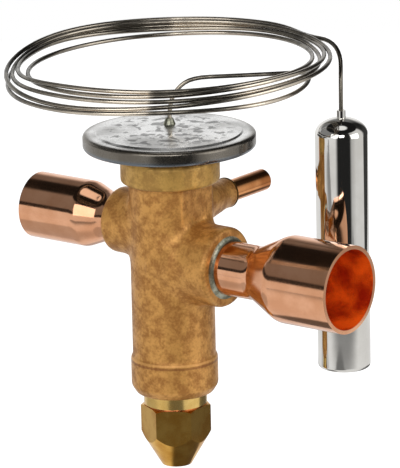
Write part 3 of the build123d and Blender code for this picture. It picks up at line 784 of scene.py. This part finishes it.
def applied(obj: bpy.types.Object) -> bpy.types.Mesh:
    """Takes an object's mesh with its modifiers applied, and removes the object.

    Args:
        obj: the object.

    Returns:
        The plain mesh.
    """
    evaluated = obj.evaluated_get(bpy.context.evaluated_depsgraph_get())
    mesh = bpy.data.meshes.new_from_object(evaluated)
    bpy.data.objects.remove(obj)
    return mesh


def paint(mesh: bpy.types.Mesh, material: bpy.types.Material) -> None:
    """Gives a mesh one material in place of any that it has."""
    mesh.materials.clear()
    mesh.materials.append(material)


def add_piece(name: str, mesh: bpy.types.Mesh, body: Body) -> bpy.types.Object:
    """Puts a mesh in the scene as a piece that rides on a body.

    Args:
        name: the piece's name.
        mesh: its mesh, in the row frame.
        body: the body that it rides on.

    Returns:
        The new object.
    """
    obj = put(name, mesh)
    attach(obj, body.value)
    log.info("piece %s: %d faces", name, len(mesh.polygons))
    return obj


# ---------------------------------------------------------------- sub-assemblies
@dataclass
class Capillary:
    """The wound capillary: its lead up from the lid, its turns, and its drop to the bulb."""

    finishes: Finishes
    diameter: float = 1.6 * MM
    length: float = 1.78
    # places are millimetres towards the bulb, to its left, and up
    exit: Point = (0.0, 10.0, 49.2)  # where it leaves the ferrule on the lid
    lead: tuple[Point, ...] = (
        (0.0, 10.0, 47.2),
        (0.0, 10.0, 54.2),
        (3.0, 10.0, 60.1),
        (8.5, 10.0, 63.8),
        (21.5, 10.0, 64.1),
        (38.0, 6.5, 65.4),
        (50.2, -4.0, 68.4),
    )
    drop: tuple[Point, ...] = (
        (50.3, 27.6, 74.0),
        (58.3, 18.0, 74.8),
        (61.7, 8.0, 71.6),
        (61.3, 0.0, 64.5),
        (61.3, 0.0, 53.2),
    )
    coil_height: float = 70.6  # millimetres
    coil_radius: float = 53.5  # millimetres
    coil_from: float = 4.6  # the first turn's start, in degrees round from the bulb
    coil_to: float = 1771.2  # the last turn's end, in degrees wound from the bulb
    lean: float = math.radians(1.3)
    per_turn: int = 24
    # how many millimetres each turn lies out from the coil's middle and above it, at every station
    station: float = 45.0  # degrees
    wander: tuple[tuple[float, float], ...] = (
        (-3.1, -3.3), (2.1, -4.5), (3.3, -3.3), (3.9, -4.1), (3.35, -3.4), (3.2, 1.8), (1.5, 2.3),
        (3.4, 1.7), (2.1, 1.5), (-0.1, 2.2), (-1.6, 1.3), (-3.0, 0.8), (-3.95, 0.0), (-3.7, -0.2),
        (-1.5, -0.2), (-0.9, 0.7), (-2.1, 0.8), (-3.0, 2.0), (-3.3, 2.4), (-3.3, 2.6), (-0.25, 0.8),
        (0.6, 2.4), (-0.1, 1.3), (0.7, 2.1), (0.5, 0.0), (0.3, -0.1), (0.0, -0.3), (-0.4, -0.3),
        (1.75, -0.6), (2.1, 3.6), (0.5, 3.9), (2.2, 3.5), (4.3, 1.2), (3.1, -0.1), (1.7, -1.8),
        (2.6, -2.9), (3.95, -0.2), (3.7, 4.3), (3.1, 4.4), (4.1, 3.8), (4.0, 1.6),
    )

    def stray(self, turned: float) -> tuple[float, float]:
        """How far the tube lies from the coil's middle line.

        Args:
            turned: the angle wound so far, in degrees.

        Returns:
            Millimetres outwards and up, on a smooth curve through the wander's stations.
        """
        last = len(self.wander) - 1
        at = min(int(turned / self.station), last - 1)
        t = turned / self.station - at
        near = [self.wander[min(max(at + step, 0), last)] for step in (-1, 0, 1, 2)]
        out, up = (
            b + 0.5 * t * (c - a + t * (2 * a - 5 * b + 4 * c - d + t * (3 * (b - c) + d - a)))
            for a, b, c, d in zip(*near)
        )
        return out, up

    def route(self) -> list[Vector]:
        """Winds the tube from the lid to the bulb.

        Returns:
            Its control points, in the row frame.
        """
        points = [from_bulb_side(point) for point in self.lead]
        wound = self.coil_to - self.coil_from
        steps = round(wound / 360.0 * self.per_turn)
        # control points lie a little outside the circle that they make
        outside = 4.0 / (3.0 + math.cos(2 * math.pi / self.per_turn))
        for step in range(1, steps):
            turned = self.coil_from + wound * step / steps
            out, up = self.stray(turned)
            radius = (self.coil_radius + out) * outside
            angle = -math.radians(turned)
            along = radius * math.cos(angle)
            height = self.coil_height + up + math.tan(self.lean) * along
            points.append(from_bulb_side((along, radius * math.sin(angle), height)))
        return points + [from_bulb_side(point) for point in self.drop]

    def build(self) -> None:
        curve = bpy.data.curves.new("capillary", "CURVE")
        curve.dimensions = "3D"
        curve.bevel_depth = self.diameter / 2
        curve.bevel_resolution = 3
        curve.resolution_u = 4
        curve.use_fill_caps = True
        curve.materials.append(self.finishes.capillary)
        route = self.route()
        line = curve.splines.new("NURBS")
        line.points.add(len(route) - 1)
        for point, place in zip(line.points, route):
            point.co = (*place, 1.0)
        line.order_u = 3
        line.use_endpoint_u = True
        obj = put("capillary", curve)
        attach(obj, Body.VALVE.value)
        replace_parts(obj, "capillary_lead", "capillary_coil", "capillary_drop")
        log.info("piece capillary: %d control points", len(route))


@dataclass
class ForgedBody:
    """The forging, with the soft edges and blended roots that its die gives it."""

    finishes: Finishes
    face_size: float = 0.52 * MM
    # the machined walls inside these radii keep their shape
    chamber_radius: float = 12.4 * MM
    outlet_port_radius: float = 10.4 * MM
    inlet_port_radius: float = 9.4 * MM
    equalizer_port_radius: float = 4.6 * MM
    fillet_rounds: int = 90  # steps that fill the roots of the bosses, between these heights
    fillet_low: float = -24.0 * MM
    fillet_high: float = 26.5 * MM
    fillet_pull: float = 0.8  # how far each step goes towards the middle of a point's neighbours
    soft_rounds: int = 5  # steps that take the sharpness off every edge
    soft_pull: float = 0.5
    die_mark: Point = (16.5 * MM, -14.35 * MM, -0.4 * MM)  # from the valve's axis
    die_mark_radius: float = 1.9 * MM
    die_mark_height: float = 0.35 * MM
    die_mark_sides: int = 32

    def marked(self) -> bpy.types.Mesh:
        """Puts a small round die mark on the side of the outlet's boss.

        Returns:
            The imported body's mesh with the mark.
        """
        mesh = merged_copy("valve_body")
        shape = bmesh.new()
        shape.from_mesh(mesh)
        x, y, z = self.die_mark
        bmesh.ops.create_cone(
            shape,
            cap_ends=True,
            segments=self.die_mark_sides,
            radius1=self.die_mark_radius,
            radius2=self.die_mark_radius,
            depth=2 * self.die_mark_height,
            matrix=Matrix.Translation((AXIS_X + x, y, z)) @ Matrix.Rotation(math.pi / 2, 4, "X"),
        )
        shape.to_mesh(mesh)
        shape.free()
        return mesh

    def remeshed(self) -> bpy.types.Mesh:
        """Makes the marked body one skin of even faces.

        Returns:
            The skin.
        """
        source = put("forging_source", self.marked())
        skin = source.modifiers.new("skin", "REMESH")
        skin.mode = "VOXEL"
        skin.voxel_size = self.face_size
        return applied(source)

    def outside(self, points: np.ndarray) -> np.ndarray:
        """Which points lie on the forged skin rather than in a machined bore.

        Args:
            points: places of the vertices, from the valve's axis.

        Returns:
            True for each point of the skin.
        """
        x, y, z = points.T
        from_axis = np.hypot(x, y) > self.chamber_radius
        from_outlet = (np.hypot(y, z) > self.outlet_port_radius) | (x < 0)
        from_inlet = (np.hypot(y, z - INLET_HEIGHT) > self.inlet_port_radius) | (x > 0)
        from_equalizer = (np.hypot(x, z - EQUALIZER_HEIGHT) > self.equalizer_port_radius) | (y < 0)
        return from_axis & from_outlet & from_inlet & from_equalizer

    def soften(self, mesh: bpy.types.Mesh) -> None:
        """Fills the roots of the bosses, then rounds the skin's edges a little.

        Args:
            mesh: the even skin, which is changed.
        """
        count = len(mesh.vertices)
        flat = np.empty(count * 3)
        mesh.vertices.foreach_get("co", flat)
        points = flat.reshape(-1, 3)
        ends = np.empty(len(mesh.edges) * 2, dtype=np.int64)
        mesh.edges.foreach_get("vertices", ends)
        first, second = ends.reshape(-1, 2).T
        near = np.bincount(first, minlength=count) + np.bincount(second, minlength=count)
        skin = self.outside(points - np.array([AXIS_X, 0.0, 0.0]))
        roots = skin & (points[:, 2] > self.fillet_low) & (points[:, 2] < self.fillet_high)
        for turn in range(self.fillet_rounds + self.soft_rounds):
            sums = [
                np.bincount(first, points[second, k], count) + np.bincount(second, points[first, k], count)
                for k in range(3)
            ]
            pull = np.stack(sums, axis=-1) / near[:, None] - points
            if turn < self.fillet_rounds:
                # a root is filled where the pull goes outwards, and nothing is worn away
                mesh.vertices.foreach_set("co", points.ravel())
                mesh.update()
                normals = np.empty(count * 3)
                mesh.vertex_normals.foreach_get("vector", normals)
                normals = normals.reshape(-1, 3)
                rise = (pull * normals).sum(-1)
                points = points + self.fillet_pull * normals * (rise * (rise > 0) * roots)[:, None]
            else:
                points = points + self.soft_pull * pull * skin[:, None]
        mesh.vertices.foreach_set("co", points.ravel())
        mesh.update()

    def build(self) -> None:
        """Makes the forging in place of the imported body."""
        mesh = self.remeshed()
        self.soften(mesh)
        mesh.polygons.foreach_set("use_smooth", [True] * len(mesh.polygons))
        paint(mesh, self.finishes.body)
        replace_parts(add_piece("forged_body", mesh, Body.VALVE), "valve_body")


@dataclass
class Connections:
    """The copper connections and their brazed joints."""

    finishes: Finishes

    def build(self) -> None:
        """Dresses what is brazed into the body and the lid."""
        dress(self.finishes.outlet_copper, "outlet_tube")
        dress(self.finishes.inlet_copper, "inlet_tube")
        dress(self.finishes.equalizer_copper, "equalizer_tube")
        dress(self.finishes.solder, "outlet_braze_ring", "inlet_braze_ring", "equalizer_braze_ring")
        dress(self.finishes.solder, "capillary_ferrule")


@dataclass
class Element:
    """The diaphragm element on top, and the train that it lifts."""

    finishes: Finishes

    def build(self) -> None:
        """Dresses the element and the lift train."""
        dress(self.finishes.stainless, "element_base", "element_lid")
        dress(self.finishes.ground_steel, "diaphragm", "thrust_pad", "push_rod")
        dress(self.finishes.ground_steel, "valve_cone", "seat_insert")
        dress(self.finishes.turned_brass, "rod_guide", "pin_carrier")
        dress(self.finishes.rubber, "rod_seal")


@dataclass
class Setting:
    """The superheat setting and the cap that seals it."""

    finishes: Finishes

    def build(self) -> None:
        """Dresses the setting's parts."""
        dress(self.finishes.ground_steel, "setting_spindle")
        dress(self.finishes.rubber, "spindle_o_ring")
        dress(self.finishes.turned_brass, "spring_seat")
        dress(self.finishes.cap_brass, "seal_cap")
        dress(self.finishes.seal_copper, "gland_seal", "cap_gasket")


@dataclass
class Spring:
    """The superheat spring, cut at its middle into its upper and lower turns."""

    finishes: Finishes
    top: float = -8.71 * MM
    middle: float = -19.21 * MM
    bottom: float = -29.71 * MM

    def half(self, upper: bool) -> bpy.types.Mesh:
        """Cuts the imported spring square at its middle.

        Args:
            upper: whether to keep its upper turns.

        Returns:
            The turns that are kept, closed at the cut.
        """
        mesh = merged_copy("superheat_spring")
        shape = bmesh.new()
        shape.from_mesh(mesh)
        cut = bmesh.ops.bisect_plane(
            shape,
            geom=[*shape.verts, *shape.edges, *shape.faces],
            plane_co=(AXIS_X, 0.0, self.middle),
            plane_no=(0.0, 0.0, 1.0),
            clear_inner=upper,
            clear_outer=not upper,
        )
        rim = [edge for edge in cut["geom_cut"] if isinstance(edge, bmesh.types.BMEdge)]
        bmesh.ops.contextual_create(shape, geom=rim)
        shape.to_mesh(mesh)
        shape.free()
        paint(mesh, self.finishes.spring_wire)
        return mesh

    def build(self) -> None:
        """Makes the two runs of turns."""
        halves = (
            ("spring_upper_turns", True, Body.LIFT, self.top),
            ("spring_lower_turns", False, Body.LOWER_SEAT, self.bottom),
        )
        for name, upper, body, end in halves:
            obj = put(name, self.half(upper))
            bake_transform(obj)
            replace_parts(obj, "superheat_spring")
            log.info("piece %s: %d faces", name, len(obj.data.polygons))


@dataclass
class Gland:
    """The gland under the body, with the thread that the cap screws on."""

    finishes: Finishes
    root: float = 7.35 * MM
    crest: float = 7.93 * MM
    pitch: float = 1.5 * MM
    thread_top: float = -54.9 * MM
    thread_bottom: float = -61.6 * MM
    around: int = 48  # steps in a turn of the thread
    ridge_sides: int = 6
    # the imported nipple, a plain cylinder that is turned down to the thread's root
    nipple_top: float = -53.99 * MM
    nipple_bottom: float = -62.1 * MM
    nipple_radius: float = 8.0 * MM
    nipple_slack: float = 0.1 * MM

    def winding(self) -> dict[str, float]:
        """Works out the thread.

        Returns:
            The inputs of its nodes by name.
        """
        height = self.thread_top - self.thread_bottom
        ridge = self.crest - self.root
        return {"Radius": self.root, "Height": height, "Turns": height / self.pitch, "Ridge": ridge}

    def thread_tree(self) -> bpy.types.NodeTree:
        """Makes the nodes that wind a ridge round the nipple.

        Returns:
            The Geometry Nodes group.
        """
        takes = {"Geometry": (Kind.GEOMETRY, None), "Material": (Kind.MATERIAL, None)}
        takes |= {label: (Kind.FLOAT, size) for label, size in self.winding().items()}
        gives = {"Geometry": Kind.GEOMETRY}
        tree, given, out = start_group("wound_thread", takes, gives, "GeometryNodeTree")
        spiral = {
            "Resolution": self.around,
            "Rotations": given["Turns"],
            "Start Radius": given["Radius"],
            "End Radius": given["Radius"],
            "Height": given["Height"],
        }
        helix = tree.add("GeometryNodeCurveSpiral", spiral).outputs[0]
        section = {"Resolution": self.ridge_sides, "Radius": given["Ridge"]}
        profile = tree.add("GeometryNodeCurvePrimitiveCircle", section).outputs[0]
        swept = {"Curve": helix, "Profile Curve": profile, "Fill Caps": True}
        ridge = tree.add("GeometryNodeCurveToMesh", swept).outputs[0]
        real = tree.add("GeometryNodeRealizeInstances", {"Geometry": ridge}).outputs[0]
        painted = {"Geometry": real, "Material": given["Material"]}
        tree.feed(out["Geometry"], tree.add("GeometryNodeSetMaterial", painted).outputs[0])
        return tree.tree

    def thread(self) -> bpy.types.Mesh:
        """Winds the ridge of the thread.

        Returns:
            Its mesh, in the row frame.
        """
        holder = put("thread_holder", bpy.data.meshes.new("thread_holder"))
        modifier = holder.modifiers.new("thread", "NODES")
        modifier.node_group = self.thread_tree()
        values = self.winding() | {"Material": self.finishes.turned_brass}
        for item in modifier.node_group.interface.items_tree:
            if item.in_out == "INPUT" and item.name in values:
                modifier[item.identifier] = values[item.name]
        mesh = applied(holder)
        mesh.transform(Matrix.Translation((AXIS_X, 0.0, self.thread_bottom)))
        return mesh

    def turned(self) -> bpy.types.Mesh:
        """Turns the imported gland's nipple down to the thread's root.

        Returns:
            The gland's mesh without its thread.
        """
        mesh = merged_copy("spindle_gland")
        for vertex in mesh.vertices:
            across = Vector((vertex.co.x - AXIS_X, vertex.co.y))
            on_nipple = self.nipple_bottom < vertex.co.z < self.nipple_top
            if on_nipple and abs(across.length - self.nipple_radius) < self.nipple_slack:
                across *= self.root / self.nipple_radius
                vertex.co.x, vertex.co.y = AXIS_X + across.x, across.y
        return mesh

    def build(self) -> None:
        """Makes the gland and its thread as one piece."""
        shape = bmesh.new()
        for mesh in (self.turned(), self.thread()):
            shape.from_mesh(mesh)
        joined = bpy.data.meshes.new("threaded_gland")
        shape.to_mesh(joined)
        shape.free()
        paint(joined, self.finishes.turned_brass)
        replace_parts(add_piece("threaded_gland", joined, Body.VALVE), "spindle_gland")


@dataclass
class Bulb:
    """The plated sensing bulb."""

    finishes: Finishes

    def build(self) -> None:
        """Dresses the bulb."""
        dress(self.finishes.plate, "sensing_bulb")


# ---------------------------------------------------------------- floor, light and camera
@dataclass(frozen=True)
class Softbox:
    """A soft lamp that faces the valve."""

    name: str
    azimuth: float  # degrees to the right of the camera
    elevation: float  # degrees up
    width: float
    height: float
    level: float  # how bright its face is, where white is 1


@dataclass(frozen=True)
class ShadeSpot:
    """A round dark spot painted into the floor's glow, which only reflections show: painted shade, and
    under the valve its painted shadow.
    """

    right: float  # to the camera's right of the valve's axis
    away: float  # away from the camera
    radius: float
    darkness: float


@dataclass
class Studio:
    """The pale floor, the soft light and the camera."""

    # the camera's bearing is its turn about the valve from -Y towards +X
    bearing: float = math.radians(37.54)
    elevation: float = math.radians(15.23)
    roll: float = math.radians(1.28)
    distance: float = 1.6
    lens: float = 228.6  # millimetres
    sensor: float = 24.0  # its height in millimetres
    sees_to: float = 20.0
    aim_right: float = 10.17 * MM
    aim_up: float = 8.2 * MM

    lamp_distance: float = 1.2
    softboxes: tuple[Softbox, ...] = (
        Softbox("left_softbox", -31.0, 22.0, 0.68, 0.78, 1.9),
        Softbox("right_softbox", 60.0, 12.0, 0.8, 0.8, 1.5),
        Softbox("front_softbox", 2.0, 24.0, 0.45, 0.45, 4.2),
    )
    # a snooted lamp shines into the outlet's mouth
    mouth: Point = (-3 * MM, 0.0, 0.0)
    bore_lamp_from: tuple[float, float] = (22.0, 10.0)  # degrees to the right of the camera, and up
    bore_lamp_watts: float = 60.0
    bore_lamp_beam: float = math.radians(1.6)
    bore_lamp_blur: float = 0.7
    bore_lamp_radius: float = 20 * MM

    floor_level: float = -100 * MM
    floor_left: float = -0.45
    floor_right: float = 0.35
    floor_front: float = -0.31
    floor_back: float = 0.8
    floor_rough: float = 0.9
    floor_grey: float = 0.7
    floor_grey_in_metal: float = 0.2
    floor_glow: float = 0.75  # what it adds of its own, to the camera only
    # how far in front of the valve metal shows the floor at its dimmest, and at its brightest
    floor_shine_reach: tuple[float, float] = (0.24, 0.10)
    floor_shine_gain: float = 0.6
    floor_shine_least: float = 0.12
    # spots of painted shade on the floor's glow in metal; the one under the valve is the valve's painted
    # shadow
    shade_spots: tuple[ShadeSpot, ...] = (
        ShadeSpot(5 * MM, -150 * MM, 72 * MM, 1.0),
        ShadeSpot(135 * MM, 80 * MM, 72 * MM, 1.0),
        ShadeSpot(16 * MM, -4 * MM, 26 * MM, 1.0),
        ShadeSpot(-130 * MM, 20 * MM, 80 * MM, 0.42),
        ShadeSpot(5 * MM, 140 * MM, 55 * MM, 0.45),
    )
    shade_spot_blur: float = 0.15  # the share of its radius that a spot of painted shade fades over, on each side of its edge

    # how bright the room's walls are in metal, by degrees to the right of the camera
    walls: tuple[tuple[float, float], ...] = (
        (-180.0, 1.0), (-128.0, 1.0), (-112.0, 0.26), (-50.0, 0.22), (-38.0, 0.02), (34.0, 0.02),
        (42.0, 0.55), (62.0, 0.8), (102.0, 0.8), (114.0, 0.05), (150.0, 0.05), (166.0, 1.0), (180.0, 1.0),
    )
    # each pair that follows gives where something starts and where it is full: a rise is how far
    # a ray of length 1 goes up, and a side how far it goes towards a direction
    ceiling_rise: tuple[float, float] = (0.755, 0.70)
    ceiling_level: float = 0.012
    scrim_rise: tuple[float, float] = (0.95, 0.98)
    sweep_side: tuple[float, float] = (0.2, 0.6)
    sweep_rise: tuple[float, float] = (0.55, 0.28)
    sweep_fade: float = 0.82
    left_wall: float = -76.0  # degrees to the right of the camera
    left_side: tuple[float, float] = (0.5, 0.7)
    skirting_middle: float = 0.17  # its rise
    skirting_half: tuple[float, float] = (0.10, 0.06)
    skirting_darkness: float = 0.9
    foot_rise: tuple[float, float] = (0.11, 0.06)
    foot_level: float = 0.85
    room_level: float = 0.55  # how much light the room gives to what isn't shiny

    def direction(self, azimuth: float, elevation: float = 0.0) -> Vector:
        """A unit vector from the valve.

        Args:
            azimuth: degrees to the right of the camera.
            elevation: degrees up.

        Returns:
            The vector, in the row frame.
        """
        turn = self.bearing + math.radians(azimuth)
        rise = math.radians(elevation)
        flat = math.cos(rise)
        return Vector((math.sin(turn) * flat, -math.cos(turn) * flat, math.sin(rise)))

    def on_floor(self, right: float, away: float) -> Vector:
        """A point of the floor, by how far it lies to the camera's right and away from it."""
        step = self.direction(90.0) * right - self.direction(0.0) * away
        return Vector((AXIS_X, 0.0, self.floor_level)) + step

    def aim(self, obj: bpy.types.Object, place: Vector, target: Vector, roll: float = 0.0) -> None:
        """Points an object's -Z from a place at a target.

        Args:
            obj: the lamp or camera.
            place: where it stands.
            target: what it faces.
            roll: how far it is turned about its line of sight.
        """
        turned = (target - place).to_track_quat("-Z", "Y").to_matrix()
        turned = turned @ Matrix.Rotation(roll, 3, "Z")
        obj.matrix_world = Matrix.Translation(place) @ turned.to_4x4()

    def camera(self) -> None:
        """Makes the camera."""
        data = bpy.data.cameras.new("camera")
        data.sensor_fit = "VERTICAL"
        data.sensor_height = self.sensor
        data.lens = self.lens
        data.clip_end = self.sees_to
        camera = put("camera", data)
        back = self.direction(0.0, math.degrees(self.elevation))
        right = Vector((math.cos(self.bearing), math.sin(self.bearing), 0.0))
        up = back.cross(right)
        target = Vector((AXIS_X, 0.0, 0.0)) + right * self.aim_right + up * self.aim_up
        self.aim(camera, target + back * self.distance, target, -self.roll)
        bpy.context.scene.camera = camera

    def lamps(self) -> None:
        """Makes the softboxes and the lamp for the outlet's bore."""
        centre = Vector((AXIS_X, 0.0, 0.0))
        for box in self.softboxes:
            lamp = bpy.data.lights.new(box.name, "AREA")
            lamp.shape = "RECTANGLE"
            lamp.size, lamp.size_y = box.width, box.height
            lamp.energy = box.level * math.pi * box.width * box.height
            place = centre + self.direction(box.azimuth, box.elevation) * self.lamp_distance
            self.aim(put(box.name, lamp), place, centre)
        snoot = bpy.data.lights.new("bore_lamp", "SPOT")
        snoot.energy = self.bore_lamp_watts
        snoot.spot_size = self.bore_lamp_beam
        snoot.spot_blend = self.bore_lamp_blur
        snoot.shadow_soft_size = self.bore_lamp_radius
        mouth = Vector(self.mouth)
        place = mouth + self.direction(*self.bore_lamp_from) * self.lamp_distance
        self.aim(put("bore_lamp", snoot), place, mouth)

    def towards(self, tree: Tree, ray: Socket, azimuth: float) -> Socket:
        """How far a ray or a step goes in the level direction of an azimuth."""
        return tree.vector("DOT_PRODUCT", ray, tuple(self.direction(azimuth)))

    def in_metal(self, tree: Tree, path: bpy.types.Node) -> Socket:
        """One for what a reflection or a clear part shows, from the Light Path node."""
        rays = path.outputs["Is Glossy Ray"], path.outputs["Is Transmission Ray"]
        return tree.maths("ADD", *rays, clamp=True)

    def floor_shine(self, tree: Tree) -> Socket:
        """How bright the floor is in metal: dimmer towards the camera, and dark on the spots of painted
        shade.

        Args:
            tree: the floor's material.

        Returns:
            The strength of its glow.
        """
        spot = tree.spot()
        from_axis = tree.vector("SUBTRACT", spot, (AXIS_X, 0.0, 0.0))
        shine = tree.ramp(self.towards(tree, from_axis, 0.0), *self.floor_shine_reach)
        shine = tree.maths("MULTIPLY_ADD", shine, self.floor_shine_gain, self.floor_shine_least)
        for shade_spot in self.shade_spots:
            gap = tree.vector("DISTANCE", spot, tuple(self.on_floor(shade_spot.right, shade_spot.away)))
            edge = shade_spot.radius * self.shade_spot_blur
            open_floor = tree.ramp(gap, shade_spot.radius - edge, shade_spot.radius + edge)
            open_floor = tree.maths("MULTIPLY_ADD", open_floor, shade_spot.darkness, 1.0 - shade_spot.darkness)
            shine = tree.maths("MULTIPLY", shine, open_floor)
        return shine

    def floor(self) -> None:
        """Makes the pale floor under the held part, white to the camera."""
        material = bpy.data.materials.new("pale_floor")
        material.use_nodes = True
        tree = Tree(material.node_tree)
        path = tree.add("ShaderNodeLightPath")
        glow = tree.maths("MULTIPLY", self.in_metal(tree, path), self.floor_shine(tree))
        to_camera = tree.maths("MULTIPLY", path.outputs["Is Camera Ray"], self.floor_glow)
        greys = grey(self.floor_grey), grey(self.floor_grey_in_metal)
        looks = {
            "Base Color": tree.blend(path.outputs["Is Glossy Ray"], *greys),
            "Roughness": self.floor_rough,
            "Emission Color": grey(1.0),
            "Emission Strength": tree.maths("ADD", glow, to_camera),
        }
        shader = tree.add("ShaderNodeBsdfPrincipled", looks)
        tree.add("ShaderNodeOutputMaterial", {"Surface": shader.outputs[0]})
        front = [self.on_floor(right, self.floor_front) for right in (self.floor_left, self.floor_right)]
        back = [self.on_floor(right, self.floor_back) for right in (self.floor_right, self.floor_left)]
        mesh = bpy.data.meshes.new("pale_floor")
        mesh.from_pydata(front + back, [], [(0, 1, 2, 3)])
        mesh.materials.append(material)
        put("pale_floor", mesh)

    def room(self, tree: Tree, ray: Socket) -> Socket:
        """What metal shows of the room: its walls, a sweep behind, and a dark ceiling with a scrim.

        Args:
            tree: the world's tree.
            ray: the direction of a ray.

        Returns:
            The colour that it meets.
        """
        rise = tree.add("ShaderNodeSeparateXYZ", {0: ray}).outputs[2]
        turn = tree.maths("ARCTAN2", self.towards(tree, ray, 90.0), self.towards(tree, ray, 0.0))
        # the left wall is pale at its foot, and meets the floor in a dark line
        leftward = tree.ramp(self.towards(tree, ray, self.left_wall), *self.left_side)
        foot = tree.maths("MULTIPLY", leftward, tree.ramp(rise, *self.foot_rise))
        walls = tree.blend(foot, tree.by_turn(turn, self.walls), grey(self.foot_level))
        line = tree.maths("ABSOLUTE", tree.maths("SUBTRACT", rise, self.skirting_middle))
        skirting = tree.maths("MULTIPLY", leftward, tree.ramp(line, *self.skirting_half))
        open_wall = tree.maths("MULTIPLY_ADD", skirting, -self.skirting_darkness, 1.0)
        # the sweep behind the valve fades upwards
        faded = tree.maths("SUBTRACT", 1.0, tree.ramp(rise, *self.sweep_rise))
        behind = tree.ramp(self.towards(tree, ray, 180.0), *self.sweep_side)
        sweep = tree.maths("MULTIPLY_ADD", tree.maths("MULTIPLY", behind, faded), -self.sweep_fade, 1.0)
        level = tree.maths("MULTIPLY", sweep, tree.ramp(rise, *self.ceiling_rise))
        level = tree.maths("MULTIPLY", level, open_wall)
        shown = tree.blend(level, grey(self.ceiling_level), walls)
        # a pale scrim hangs overhead, in the middle of the dark ceiling
        return tree.blend(tree.ramp(rise, *self.scrim_rise), shown, grey(1.0))

    def world(self) -> None:
        """Makes the surroundings: white to the camera, a room in metal, and plain light on the rest."""
        world = bpy.data.worlds.new("studio")
        bpy.context.scene.world = world
        world.use_nodes = True
        tree = Tree(world.node_tree)
        path = tree.add("ShaderNodeLightPath")
        shown = self.room(tree, tree.add("ShaderNodeTexCoord").outputs["Generated"])
        colour = tree.blend(self.in_metal(tree, path), grey(self.room_level), shown)
        colour = tree.blend(path.outputs["Is Camera Ray"], colour, grey(1.0))
        background = tree.add("ShaderNodeBackground", {"Color": colour, "Strength": 1.0})
        tree.add("ShaderNodeOutputWorld", {"Surface": background.outputs[0]})

    def build(self) -> None:
        """Makes the floor, the surroundings, the lamps and the camera."""
        self.floor()
        self.world()
        self.lamps()
        self.camera()
        bpy.context.scene.view_settings.view_transform = "Standard"


def main() -> None:
    """Builds the valve's looks."""
    finishes = Finishes()
    for kind in (Capillary, ForgedBody, Connections, Element, Setting, Spring, Gland, Bulb):
        kind(finishes).build()
        log.info("built %s", kind.__name__)
    Studio().build()


if __name__ == "__main__":
    main()
